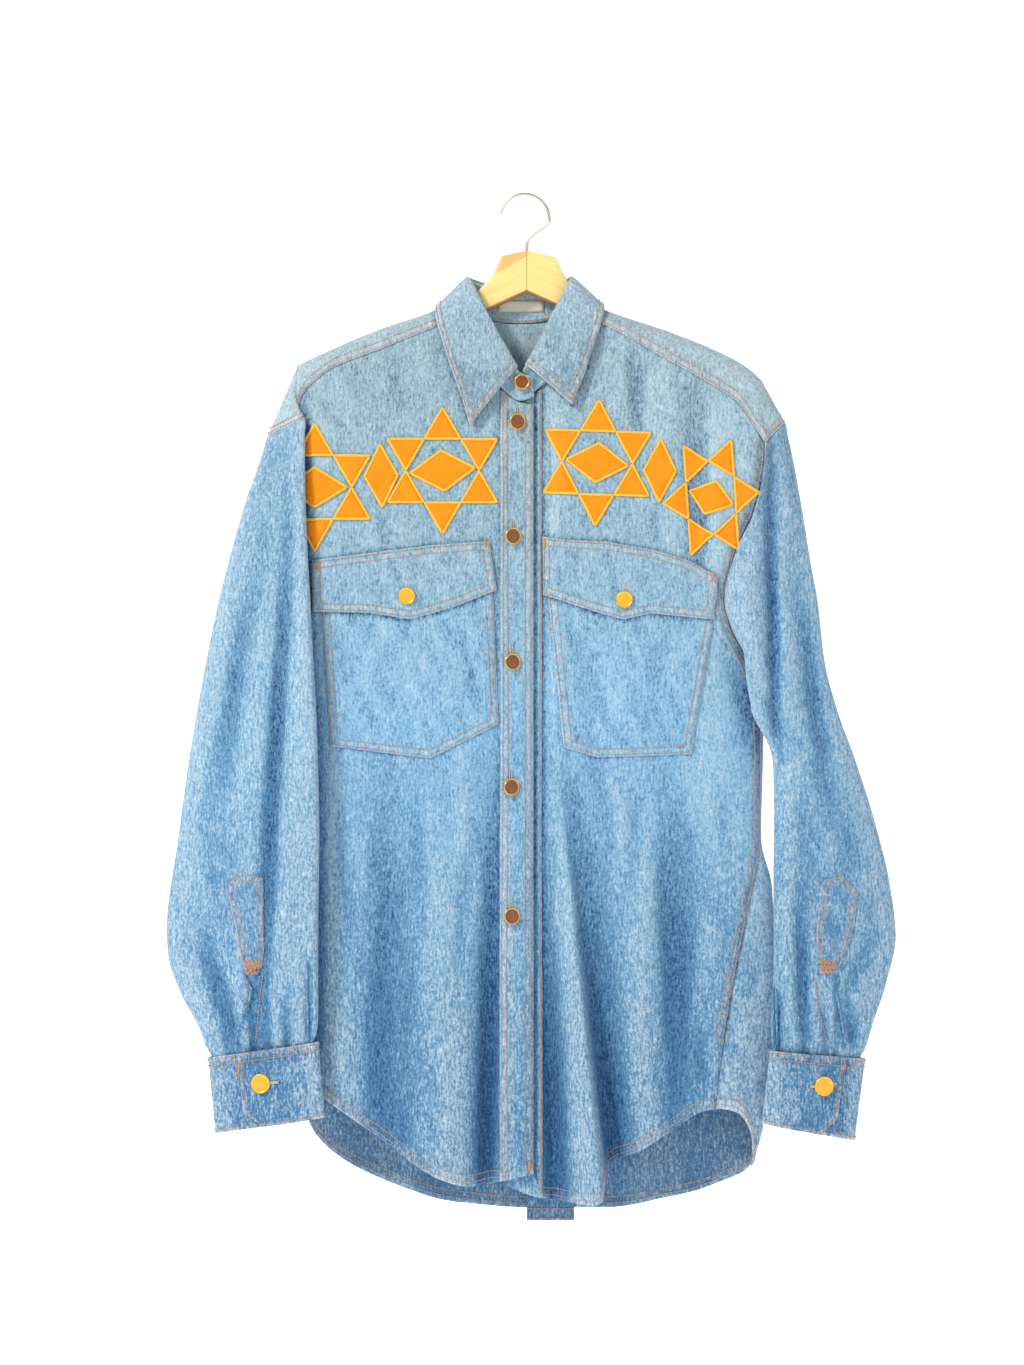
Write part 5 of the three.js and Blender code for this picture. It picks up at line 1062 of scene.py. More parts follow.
# Pieces laid on the cloth, as outlines in the picture
onCloth, underCloth, flapRoom, patchCloth = 1.5, 0.5, 2.0, 1.0
pocketOutlines = {
    "pocket_right": [(-197, -366), (-186.3, -522.5), (-92.4, -533.9), (-27.6, -501.3), (-30.5, -430), (-34, -352)],
    "pocket_left": [(16, -350), (33.3, -523.5), (65.6, -533), (153.9, -530), (175, -407), (172, -380)],
}
flapOutlines = {
    "flap_right": [(-203, -346.8), (-203, -395.2), (-150, -396.5), (-110.6, -402.8), (-70, -391),
                   (-29.5, -374.9), (-36.4, -328.7), (-90, -332.5), (-150, -340)],
    "flap_left": [(13.8, -324), (13.8, -379), (40, -388), (68.4, -397), (90, -402.8), (116, -397),
                  (174.8, -402.8), (179.8, -362), (150.4, -346.7), (117.6, -336.9), (74, -329.2), (30.4, -327)],
}
sleevePatches = {
    "left": [(-283.4, -653.8), (-269.6, -640.5), (-248.9, -645.8), (-247.7, -716), (-250, -729.8),
             (-263.8, -734.4), (-269.6, -720.6), (-275, -690)],
    "right": [(274.6, -652.7), (278.7, -647.4), (295.3, -644.1), (310.7, -658.7), (305.5, -695.8),
              (290, -734.9), (269.5, -734.9), (270.5, -695.8)],
}


# The front half of a sleeve as a surface over the picture, looked up in its grid
def sleeveSkin(side):
    grid = sleeveGrids[side]
    if side == "left":
        grid = grid[:, ::-1]
    front = grid[:, 6:53]
    levels = np.array([row[:, 2].mean() for row in front])

    def skin(x, z):
        x, z = np.broadcast_arrays(np.asarray(x, float), np.asarray(z, float))
        at = np.interp(-z, -levels, np.arange(len(levels)))
        low = np.clip(at.astype(int), 0, len(levels) - 2)
        rest = at - low
        result = np.empty(x.shape)
        for j in np.unique(low):
            pick = low == j
            rows = []
            for row in (front[j], front[j + 1]):
                order = np.argsort(row[:, 0])
                rows.append(np.interp(x[pick], row[order, 0], row[order, 1]))
            result[pick] = mixed(rows[0], rows[1], rest[pick])
        return result

    return skin


sleeveSkins = {side: sleeveSkin(side) for side in sleeves}


# How worn and shaded each place is: high spots of the small relief are paler from wear, hollows darker as painted
# shade, and edges palest
def wear(grid, window=6, strength=0.9):
    normals = gridNormals(grid)
    smoothed = grid.copy()
    for axis in (0, 1):
        wide = np.concatenate([
            np.repeat(np.take(smoothed, [0], axis), window, axis), smoothed,
            np.repeat(np.take(smoothed, [-1], axis), window, axis)], axis)
        sums = np.cumsum(np.concatenate([np.zeros_like(np.take(wide, [0], axis)), wide], axis), axis)
        size = 2 * window + 1
        count = grid.shape[axis]
        smoothed = (np.take(sums, range(size, size + count), axis) - np.take(sums, range(count), axis)) / size
    height = ((grid - smoothed) * normals).sum(-1)
    return np.clip(height / strength, -1, 1)


# The same, together with painted light and shade of whole folds: their ridges paler, their valleys darker
def foldWearAndShade(grid):
    return 0.5 * wear(grid) + 0.45 * wear(grid, window=13, strength=5.0)


def facing(grid):
    return np.clip(gridNormals(grid)[..., 1] * -3, 0, 1)


# Painted shade: the deep valleys are darkened, and a painted shadow lies beside an edge that lies on the cloth
def valleyShade(grid, folds, leans=False):
    valleys = {name: values[folds["height"] < 0] for name, values in folds.items()}
    return 0.1 * facing(grid) * foldHeight(valleys, grid[..., 0], grid[..., 2], leans)


def edgeShade(x, z, lines, reach, strength):
    nearest = np.min([nearLine(line, x, z)[0] for line in lines], axis=0)
    return -strength * np.exp(-((nearest / reach) ** 2))


def edgeShadeOn(grid, lines, reach=2.0, strength=1.0):
    return facing(grid) * edgeShade(grid[..., 0], grid[..., 2], lines, reach, strength)


# Distances over the cloth to a grid's top, bottom, first and last edge
def edgeDistances(grid):
    down = np.linalg.norm(np.diff(grid, axis=0), axis=-1)
    across = np.linalg.norm(np.diff(grid, axis=1), axis=-1)
    fromTop = np.concatenate([np.zeros((1, grid.shape[1])), np.cumsum(down, axis=0)])
    fromFirst = np.concatenate([np.zeros((grid.shape[0], 1)), np.cumsum(across, axis=1)], axis=1)
    return {"top": fromTop, "bottom": fromTop[-1:] - fromTop, "first": fromFirst, "last": fromFirst[:, -1:] - fromFirst}


# The worn ripples along a seam
def ripples(along):
    return np.sin(along * 1.35 + 2 * np.sin(along / 11))


# A panel with doubled cloth along some edges: those stand out a little and are worn
def seamed(grid, edges, lift=0.0, thick=1.2, width=9.0, rise=0.55, worn=0.55, shade=0.0):
    distances = edgeDistances(grid)
    # Its fade mark starts from wear with painted light and shade of the relief and folds, and shade adds painted shade
    # and painted shadow
    fade = foldWearAndShade(grid)
    raised = np.full(grid.shape[:2], float(lift))
    inner = np.full(grid.shape[:2], float(thick))
    for edge in edges:
        d = distances[edge]
        band = 1 - smooth(width - 1.5, width + 0.8, d)
        raised += rise * band
        inner += rise * band
        along = distances["first" if edge in ("top", "bottom") else "top"]
        rope = 0.5 * ripples(along) + 0.25 * np.sin(along * 0.61 + 1)
        fade = fade + worn * band * (0.6 + rope) + 0.5 * (1 - smooth(0.5, 2.6, d))
    return {"lift": raised, "thick": inner, "fade": fade + shade}


# Shader maths, written as expressions
class Term:
    def __init__(self, graph, socket):
        self.graph, self.socket = graph, socket

    def join(self, operation, *others, turned=False):
        values = dict(enumerate([*others, self] if turned else [self, *others]))
        return Term(self.graph, self.graph.node("ShaderNodeMath", {"operation": operation}, values).outputs[0])

    def __add__(self, other):
        return self.join("ADD", other)

    def __radd__(self, other):
        return self.join("ADD", other, turned=True)

    def __sub__(self, other):
        return self.join("SUBTRACT", other)

    def __rsub__(self, other):
        return self.join("SUBTRACT", other, turned=True)

    def __mul__(self, other):
        return self.join("MULTIPLY", other)

    def __rmul__(self, other):
        return self.join("MULTIPLY", other, turned=True)

    def __truediv__(self, other):
        return self.join("DIVIDE", other)

    def __rtruediv__(self, other):
        return self.join("DIVIDE", other, turned=True)

    def __pow__(self, other):
        return self.join("POWER", other)

    def larger(self, other):
        return self.join("MAXIMUM", other)

    def smaller(self, other):
        return self.join("MINIMUM", other)

    def sine(self):
        return self.join("SINE")

    def smoothly(self, start, end, low=0.0, high=1.0):
        values = {"Value": self, "From Min": start, "From Max": end, "To Min": low, "To Max": high}
        made = self.graph.node("ShaderNodeMapRange", {"interpolation_type": "SMOOTHSTEP"}, values)
        return Term(self.graph, made.outputs[0])


class Graph:
    def __init__(self, name):
        self.material = bpy.data.materials.new(name)
        self.material.use_nodes = True
        self.tree = self.material.node_tree
        self.tree.nodes.clear()

    def node(self, kind, settings=None, values=None):
        made = self.tree.nodes.new(kind)
        for name, value in (settings or {}).items():
            setattr(made, name, value)
        self.fill(made, values or {})
        return made

    def fill(self, made, values):
        for name, value in values.items():
            if isinstance(value, Term):
                value = value.socket
            if isinstance(value, bpy.types.NodeSocket):
                self.tree.links.new(value, made.inputs[name])
            else:
                made.inputs[name].default_value = value

    def place(self):
        split = self.node("ShaderNodeSeparateXYZ", None, {0: self.node("ShaderNodeTexCoord").outputs["Object"]})
        return [Term(self, output) for output in split.outputs]

    def mark(self, name):
        made = self.node("ShaderNodeAttribute", {"attribute_name": name})
        return Term(self, made.outputs["Fac"])

    # Noise from 0 to 1 whose grains have these sizes in millimetres
    def noise(self, x, y, z, detail=2.0, rough=0.5, shift=0.0):
        px, py, pz = self.place()
        vector = self.node("ShaderNodeCombineXYZ", None,
                           {0: px * (1000 / x) + shift, 1: py * (1000 / y), 2: pz * (1000 / z)})
        return self.grain(vector, detail, rough)

    def grain(self, vector, detail, rough):
        made = self.node("ShaderNodeTexNoise", None, {
            "Vector": vector.outputs[0], "Scale": 1.0, "Detail": detail, "Roughness": rough})
        return Term(self, made.outputs["Fac"])

    def blend(self, share, first, second):
        made = self.node("ShaderNodeMix", {"data_type": "RGBA"}, {0: share, 6: first, 7: second})
        return made.outputs[2]

    def bump(self, height, strength, distance):
        made = self.node("ShaderNodeBump", None, {"Height": height, "Strength": strength, "Distance": distance})
        return made.outputs[0]

    # A surface whose values are named as its sockets are, as in baseColor
    def surface(self, **values):
        shader = self.node("ShaderNodeBsdfPrincipled")
        names = {socket.name.replace(" ", "").lower(): socket.name for socket in shader.inputs}
        self.fill(shader, {names[name.lower()]: value for name, value in values.items()})
        self.node("ShaderNodeOutputMaterial", None, {"Surface": shader.outputs[0]})
        return self.material


# A colour as a screen shows it, from 0 to 255, made linear
def colour(red, green, blue):
    parts = [v / 255 for v in (red, green, blue)]
    return (*[v / 12.92 if v <= 0.04045 else ((v + 0.055) / 1.055) ** 2.4 for v in parts], 1)


# low, middle and high, and the inside's low and high, are painted light: the colour from the bottom up to the top,
# where the light falls
denimLook = {
    "low": (82, 130, 166), "middle": (122, 170, 202), "high": (138, 166, 178),
    # pale and deep take the weave's grain, and the fade mark's wear together with its painted light and shade
    "pale": (186, 206, 218), "deep": (22, 66, 114),
    "insideLow": (84, 124, 160), "insideHigh": (166, 194, 206),
    "slub": 0.95, "mottle": 0.4, "wear": 0.6, "bump": 0.6,
}


def makeDenim(name, tint, share, shift):
    g = Graph(name)
    z = g.place()[2]
    # Painted light: the denim is paler and greyer towards the top, where the light falls, and a deeper blue towards the
    # bottom, inside and out
    paintedTopLight = (z + g.noise(150, 150, 220, 2, 0.5, shift) * 0.16 - 0.08).smoothly(-0.9, -0.12)
    base = g.blend((paintedTopLight * 2).smaller(1), colour(*denimLook["low"]), colour(*denimLook["middle"]))
    base = g.blend((paintedTopLight * 2 - 1).larger(0), base, colour(*denimLook["high"]))
    base = g.blend(share, base, colour(*tint))
    within = g.blend(paintedTopLight, colour(*denimLook["insideLow"]), colour(*denimLook["insideHigh"]))
    base = g.blend(g.mark("inside") * 0.7, base, within)
    slub = g.noise(2.0, 2.0, 9, 2, 0.6, shift)
    fine = g.noise(1.8, 1.8, 3.2, 2, 0.6, shift)
    weft = g.noise(9, 9, 0.9, 1, 0.5, shift)
    mottle = g.noise(12, 12, 30, 4, 0.65, shift)
    # The fade mark holds wear at seams, edges and high spots together with painted shade in hollows and valleys,
    # painted shadow beside edges laid on the cloth, and painted light on fold ridges
    worn = g.mark("fade")
    thread = (slub - 0.5) * 1.3 + (fine - 0.5) * 1.8 + (weft - 0.5) * 0.3
    light = thread * denimLook["slub"] * 2 + (mottle - 0.5) * denimLook["mottle"] + worn * denimLook["wear"]
    base = g.blend((light * 0.62).larger(0).smaller(1), base, colour(*denimLook["pale"]))
    base = g.blend((light * -0.62).larger(0).smaller(1), base, colour(*denimLook["deep"]))
    height = slub * 0.6 + fine * 0.5 + weft * 0.4
    return g.surface(baseColor=base, roughness=0.92, sheenWeight=0.12, sheenRoughness=0.6,
                     specularIorLevel=0.15, normal=g.bump(height, denimLook["bump"], 0.0004))


# A tint for each part of the shirt, its share, and where in the noise the part lies
denimTints = {
    "body": ((255, 255, 255), 0, 0), "yoke": ((138, 156, 164), 0.5, 7.3), "collar": ((118, 148, 164), 0.75, 3.1),
    "sleeve": ((88, 136, 172), 0.6, 5.7), "pocket": ((122, 170, 202), 0.3, 11.9), "cuff": ((68, 116, 158), 0.75, 2.3),
}
denim = {name: makeDenim(f"denim_{name}", *values) for name, values in denimTints.items()}
print("denim made")


def asPairs(outline):
    return [tuple(map(float, point)) for point in outline]


collarEdges = [line[:, [0, 2]] for line in (collarCloth[-1][::4], collarCloth[:, 0], collarCloth[:, -1])]
laidOutlines = [asPairs(outline) for outline in [*pocketOutlines.values(), *flapOutlines.values()]]
overlying = [outline + outline[:1] for outline in laidOutlines] + collarEdges
overlying += [[(placketLeft - 1.5, -200), (placketLeft - 1.5, -934)],
              [(bandRight + 1.5, -190), (bandRight + 1.5, -944)]]
slits = {  # a line of shade on the sleeve beside each free edge above the cuff
    "left": [[(-265, -736), (-257.5, -751), (-262.5, -767), (-271, -788), (-273, -802)],
             [(-205.6, -722), (-204.6, -796)]],
    "right": [[(288.5, -739), (287.5, -754), (293.5, -781), (296.5, -802)], [(230.5, -750), (231.5, -802)]],
}
slitShade = {"reach": 1.9, "strength": 1.7}


def frontShade(grid, sleeve, reach, strength):
    fold = asLine(sleeve["rows"], "inner", keep=lambda x: x < 224)
    return (valleyShade(grid, frontFolds, True) + edgeShadeOn(grid, overlying, 2.0, 0.9)
            + edgeShadeOn(grid, [fold], reach, strength))


def sleeveShade(side):
    folds = sleeves[side][0]["folds"]
    return valleyShade(sleeveGrids[side], folds) + edgeShadeOn(sleeveGrids[side], slits[side], **slitShade)


# The cloth pieces from grids: grid, look, seamed edges and how they are seamed
allRound = ("top", "bottom", "first", "last")
underPlacketEdge = [[(6.5, -190), (6.5, -930)]]
gridPieces = {
    "front_right": (rightFrontGrid, "body", ("bottom",), {"shade": frontShade(rightFrontGrid, leftSleeve, 6.0, 1.6)}),
    "front_left": (leftFrontGrid, "body", ("bottom",), {"shade": frontShade(leftFrontGrid, rightSleeve, 4.0, 1.0)}),
    "back": (backCloth, "body", ("bottom",), {}),
    "back_pleat": (pleatCloth, "body", ("bottom",), {"thick": 1.0}),
    "placket": (placketGrid, "body", ("first", "last", "bottom"),
                {"lift": 1.5, "thick": 1.0, "width": 8, "rise": 0.25, "worn": 0.35}),
    "button_band": (bandGrid, "body", ("last", "bottom"),
                    {"lift": 1.4, "thick": 1.0, "width": 6, "rise": 0.2, "worn": 0.3,
                     "shade": edgeShadeOn(bandGrid, underPlacketEdge, 1.8, 1.8)}),
    "sleeve_right": (sleeveGrids["left"], "sleeve", ("top",), {"shade": sleeveShade("left")}),
    "sleeve_left": (sleeveGrids["right"], "sleeve", ("top",), {"shade": sleeveShade("right")}),
    "cuff_right": (cuffGrids["left"], "cuff", allRound, {"width": 5}),
    "cuff_left": (cuffGrids["right"], "cuff", allRound, {"width": 5}),
    "yoke": (yokeCloth, "yoke", ("bottom", "top", "first", "last"),
             {"rise": 0.7, "shade": edgeShadeOn(yokeCloth, collarEdges, 3.5, 1.6)}),
    "collar": (collarCloth, "collar", ("bottom", "first", "last"), {"width": 8, "rise": 0.35}),
    "collar_stand": (standCloth, "collar", ("top", "bottom"), {"width": 4, "rise": 0.2}),
}
for name, (grid, look, edges, how) in gridPieces.items():
    wall = seamed(grid, edges, **how)
    finishPiece(makeWall(f"{name}_cloth", grid, **wall), denim[look], "denim", [name])
print("walls made")


def patchFadeAndShade(x, z, distance, along):
    ripple = 0.3 * puckers(along, distance - 4, 7, 5)
    band = 1 - smooth(7.5, 9.5, distance)
    rope = 0.3 * ripples(along) * band
    # Painted light and shade: paler on the front's creases and darker in their troughs, over a random tone
    folds = 0.3 * creaseHeight(frontCreases, x, z) + 0.28 * unevenness(x, z, 6, 1.0, 22, 60) * (1 - band)
    return 0.4 * band + 0.5 * (1 - smooth(0.4, 2.2, distance)) + ripple + rope + folds


def pocketFadeAndShadow(x, z, distance, along):
    flaps = [asPairs(outline) for outline in flapOutlines.values()]
    # Painted shadow: a dark band round the flaps' edges on the pocket below them
    return patchFadeAndShade(x, z, distance, along) + edgeShade(x, z, [line + line[:1] for line in flaps], 3.0, 2.2)


def addPatch(name, outline, skin, look, lift, **how):
    obj = makePatch(f"{name}_cloth", outline, skin, lift, patchCloth, **how)
    finishPiece(obj, denim[look], "denim", [name])


for name, outline in pocketOutlines.items():
    addPatch(name, outline, frontUnder(name), "pocket", underCloth, fullness=0.8, fade=pocketFadeAndShadow, gathers=0.3)
for name, outline in flapOutlines.items():
    addPatch(name, outline, frontUnder(name), "body", flapRoom, fullness=0.6, fade=patchFadeAndShade, gathers=0.25)
for side, worn in (("left", "right"), ("right", "left")):
    addPatch(f"sleeve_placket_{worn}", sleevePatches[side], sleeveSkins[side], "sleeve", underCloth, step=3.0,
             fade=patchFadeAndShade)
print("patches made")

# Star motif: six triangles round a six-sided space with a lozenge in it, and upright lozenges between two stars.
# What lies left of the sleeve's fold is cut off.
starRadius, sleeveFoldX, rayShare = 60, -211, 0.975
starPlaces = {
    "side_right": {"x": -201, "z": -278, "turn": 0, "squeeze": 1, "inner": (30, 18.5, 0), "skin": rightFrontY},
    "right": {"x": -80.8, "z": -262, "turn": 0, "squeeze": 1, "inner": (30.6, 19, 5), "skin": rightFrontY},
    "left": {"x": 65.4, "z": -254.5, "turn": -2, "squeeze": 0.96, "inner": (29.3, 18.5, -6), "skin": leftFrontY},
    "side_left": {"x": 172.5, "z": -288, "turn": -25, "squeeze": 0.75, "inner": (21, 16, -18), "skin": leftFrontY},
}
uprights = {
    "right": {"x": -138.7, "z": -267, "half": (15.5, 29.5, 2), "skin": rightFrontY},
    "left": {"x": 124.5, "z": -262, "half": (15, 29.5, -2), "skin": leftFrontY},
}


def starTriangles(star):
    def tip(angle, radius):
        a = (angle + star["turn"]) * degree
        return np.array([star["x"] + math.cos(a) * radius * star["squeeze"], star["z"] + math.sin(a) * radius])

    result = []
    inner = starRadius / math.sqrt(3)
    for k in range(6):
        corners = np.array([tip(90 + 60 * k, starRadius), tip(120 + 60 * k, inner), tip(60 + 60 * k, inner)])
        middle = corners.mean(axis=0)
        result.append(middle + (corners - middle) * rayShare)
    return result


def lozengeAt(place, halfX, halfZ, turn):
    a = turn * degree
    corners = [(halfX, 0), (0, halfZ), (-halfX, 0), (0, -halfZ)]
    return np.array([(place["x"] + p * math.cos(a) - q * math.sin(a), place["z"] + p * math.sin(a) + q * math.cos(a))
                     for p, q in corners])


# Cuts what reaches past the sleeve's fold off an outline
def clipped(outline, low):
    result = []
    for (ax, az), (bx, bz) in zip(outline, np.roll(outline, -1, axis=0)):
        if ax >= low:
            result.append((ax, az))
        if (ax - low) * (bx - low) < 0:
            result.append((low, az + (bz - az) * (low - ax) / (bx - ax)))
    return np.array(result)


# A flat cord of thread along a line on a surface, as satin stitch, a bar tack or a buttonhole's edge
cords = {}


def layCord(group, points, normals, halfWidth, height, closed=False):
    points, normals = np.asarray(points, float), np.asarray(normals, float)
    if closed:
        direction = unit(np.roll(points, -1, 0) - np.roll(points, 1, 0))
    else:
        direction = unit(np.gradient(points, axis=0))
    aside = np.cross(direction, normals)
    along = lengthsAlong(points)
    section = [(-1.0, -0.3), (-0.8, 0.55), (-0.3, 1.0), (0.3, 1.0), (0.8, 0.55), (1.0, -0.3)]
    rings = np.stack([points + aside * (a * halfWidth) + normals * (b * height) for a, b in section], axis=1)
    count, sides = rings.shape[:2]
    faces = tubeFaces(count, sides, closed=closed)
    cords.setdefault(group, []).append((rings.reshape(-1, 3), faces, np.repeat(along, sides)))


def layOn(group, skin, outline, lift, halfWidth, height, closed=True, step=1.6):
    outline = np.asarray(outline, float)
    line = spaced(np.concatenate([outline, outline[:1]]) if closed else outline, step)
    if closed:
        line = line[:-1]
    points, normals = onSkin(skin, line[:, 0], line[:, 1], lift)
    layCord(group, points, normals, halfWidth, height, closed)


def makeCords(group, name, material, slotName):
    points, faces, along, base = [], [], [], 0
    for ring, quads, lengths in cords[group]:
        points.append(ring)
        faces += [[v + base for v in quad] for quad in quads]
        along.append(lengths)
        base += len(ring)
    obj = makeMesh(name, np.concatenate(points), faces, {"along": np.concatenate(along)})
    return finishPiece(obj, material, slotName)


def makeThread(name, shade, dark, spacing=0.8):
    g = Graph(name)
    grain = g.noise(2.5, 2.5, 2.5, 2, 0.6)
    ribs = (g.mark("along") * (2 * math.pi / spacing)).sine() * 0.5 + 0.5
    base = g.blend((grain * 0.7 + ribs * 0.35 - 0.1).larger(0).smaller(1), colour(*dark), colour(*shade))
    return g.surface(baseColor=base, roughness=0.6, sheenWeight=0.1, specularIorLevel=0.35,
                     normal=g.bump(ribs, 0.7, 0.0003))


def makePatchwork(name, shade, dark):
    g = Graph(name)
    weave = g.noise(0.9, 0.9, 6, 2, 0.6) * 0.5 + g.noise(7, 7, 0.9, 2, 0.6) * 0.5
    mottle = g.noise(18, 18, 18, 3, 0.6)
    base = g.blend((weave * 0.7 + mottle * 0.5 - 0.25).larger(0).smaller(1), colour(*dark), colour(*shade))
    return g.surface(baseColor=base, roughness=0.85, sheenWeight=0.1, specularIorLevel=0.2,
                     normal=g.bump(weave, 0.4, 0.0003))


orangeCotton = makePatchwork("orange_cotton", (252, 164, 28), (232, 124, 6))
satinThread = makeThread("satin_thread", (255, 212, 84), (244, 172, 36))
tanThread = makeThread("tan_thread", (220, 172, 142), (166, 110, 74))
orangeThread = makeThread("orange_thread", (240, 164, 74), (200, 116, 44))

# The motif's cloth lies flat on the fronts, and its satin edges stand a little above it
motif = {"lift": 0.5, "thick": 0.7, "step": 4, "rim": 0.2}
satin = {"lift": 1.1, "halfWidth": 1.35, "height": 0.75}


def addMotif(name, outline, skin):
    obj = makePatch(f"{name}_cloth", outline, skin, **motif)
    finishPiece(obj, orangeCotton, "orange_patch", [name])
    layOn("satin", skin, outline, **satin)


for name, star in starPlaces.items():
    outlines = [clipped(t, sleeveFoldX) for t in starTriangles(star)]
    outlines = [t for t in outlines if len(t) > 2]
    rays = []
    for k, outline in enumerate(outlines):
        rays.append(makePatch(f"ray_{k}_{name}", outline, star["skin"], **motif))
        layOn("satin", star["skin"], outline, **satin)
    with bpy.context.temp_override(active_object=rays[0], selected_editable_objects=rays):
        bpy.ops.object.join()
    rays[0].name = f"star_{name}_cloth"
    finishPiece(rays[0], orangeCotton, "orange_patch", [f"star_{name}"])
    addMotif(f"lozenge_{name}", clipped(lozengeAt(star, *star["inner"]), sleeveFoldX), star["skin"])
for name, upright in uprights.items():
    addMotif(f"upright_lozenge_{name}", lozengeAt(upright, *upright["half"]), upright["skin"])
makeCords("satin", "satin_edges", satinThread, "orange_patch")
print("stars made")

# Rows of stitches, most of them in pairs
for line in (armholeLine, [p for p in sideLine if p[1] > -860]):
    sewOn("front_left", leftFrontY, line, 1.0, (-1.8, -7.6))
hemRows = {4.2: 0.6, 10.6: 0.1}  # distance from the edge, and height over the cloth
for group, grid, end in (("front_right", rightFrontGrid, 0.93), ("front_left", leftFrontGrid, 1)):
    for inset, lift in hemRows.items():
        sewGrid(group, grid, lift, "bottom", inset, end=end)
for inset, lift in hemRows.items():
    sewGrid("back", backCloth, lift, "bottom", inset)
    sewGrid("back", backCloth[:, ::-1], 1.3, "bottom", inset)
for inset in (2.6, 7.8):
    for edge in ("first", "last"):
        sewGrid("placket", placketGrid, 1.95, edge, inset)
sewGrid("placket", bandGrid, 1.65, "last", 2.2)
for name, outline in pocketOutlines.items():
    sewOn("pocket", frontUnder(name), outline, 1.8, (1.8, 7.6), True)
for name, outline in flapOutlines.items():
    sewOn("flap", frontUnder(name), outline, 3.3, (1.8, 7.6), True)
rightShare, leftShare = ((len(tops) + len(capSteps)) / (yokeCloth.shape[1] - 1) for tops in (rightTops, leftTops))
for inset in (1.8, 7.4):
    sewGrid("yoke", yokeCloth, 0.9, "bottom", inset, end=rightShare)
    sewGrid("yoke", yokeCloth, 0.9, "bottom", inset, start=1 - leftShare)
    for edge in ("top", "first", "last"):
        sewGrid("yoke", yokeCloth, 0.9, edge, inset)
for side, end in (("left", "first"), ("right", "last")):
    for edge, inset in (("top", 2.0), ("top", 8.0), ("bottom", 3), (end, 3)):
        sewGrid("cuff", cuffGrids[side], 0.75, edge, inset)
for inset in (2.0, 7.4):
    for edge in ("bottom", "first", "last"):
        sewGrid("collar", collarCloth, 0.55, edge, inset)
for edge, inset in (("top", 3), ("bottom", 2.5)):
    sewGrid("collar", standCloth[:, ::-1], 1.3, edge, inset)
for side in sleevePatches:
    sewOn("sleeve", sleeveSkins[side], sleevePatches[side], 1.6, (1.6, 6.0), True)
slitSeams = {
    "left": [[(-264.5, -739), (-262.5, -770)], [(-248.5, -733), (-252, -759), (-256, -800)]],
    "right": [[(268.3, -737), (273, -771), (281, -802)]],
}
for side, lines in slitSeams.items():
    for line in lines:
        sewOn("sleeve", sleeveSkins[side], line, 0.3)
for inset in (2, 11.5):
    sewGrid("back", pleatCloth, 0.6, "bottom", inset)
    sewGrid("back", pleatCloth[:, ::-1], 1.3, "bottom", inset)
for group in list(threads):
    makeThreads(group, tanThread)
print("stitches", sum(len(part[0]) for parts in threads.values() for part in parts))

# Bar tacks, each as a place, a direction in the picture, a length, the surface below and the height over it
tacks = [
    (-40.5, -331, 90, 7, rightFrontY, 3.3), (-197, -352, 80, 8, rightFrontY, 3.3), (16, -331, 90, 8, leftFrontY, 3.3),
    (174, -362, 80, 8, leftFrontY, 3.3), (2, -917, 90, 8, rightFrontY, 2.5),
]
tackSize = {"halfWidth": 1.1, "height": 0.8, "closed": False, "step": 0.8}
for x, z, turn, length, skin, lift in tacks:
    a = turn * degree
    ends = np.array([(x - math.cos(a) * length / 2, z - math.sin(a) * length / 2),
                     (x + math.cos(a) * length / 2, z + math.sin(a) * length / 2)])
    layOn("tacks", skin, ends, lift, **tackSize)
# Zigzag tacks where the sleeves' patches end, in three rows that grow shorter
zigzag = {"z": -724.5, "stitch": 1.9, "lift": 1.75, "rows": ((0, 0), (4.6, 1), (9.2, 2.5))}
zigzagSize = {"halfWidth": 0.6, "height": 0.5, "closed": False, "step": 0.7}
for low, high, side in ((-267, -250, "left"), (273, 288.5, "right")):
    for down, inset in zigzag["rows"]:
        across = np.arange(low + inset, high - inset, zigzag["stitch"])
        heights = zigzag["z"] - down + zigzag["stitch"] * (-1.0) ** np.arange(len(across))
        layOn("tacks", sleeveSkins[side], np.stack([across, heights], 1), zigzag["lift"], **zigzagSize)


# The front of a cuff's lap, half way down, at a place across it; the table holds its inner end and its reach
cuffFronts = {"left": (-194.5, -104), "right": (223, 90)}


def cuffFrontY(side, x):
    inner, width = cuffFronts[side]
    return float(cuffPoint(side, math.acos(1 - 2 * (x - inner) / width), 0.5, cuffLap)[1])


# A short bar of thread on a cuff, from one place in x and z to another
def cuffBar(group, side, start, end, halfWidth=0.9, height=0.5, lift=0.75):
    points = [(x, cuffFrontY(side, x) - lift, z) for x, z in np.linspace(start, end, 9)]
    layCord(group, points, [(0, -1, 0)] * len(points), halfWidth, height)


cuffBar("tacks", "left", (-271.5, -821), (-272.5, -829))
cuffBar("tacks", "right", (297, -817), (298, -825.5))
makeCords("tacks", "bar_tacks", orangeThread, "orange_patch")

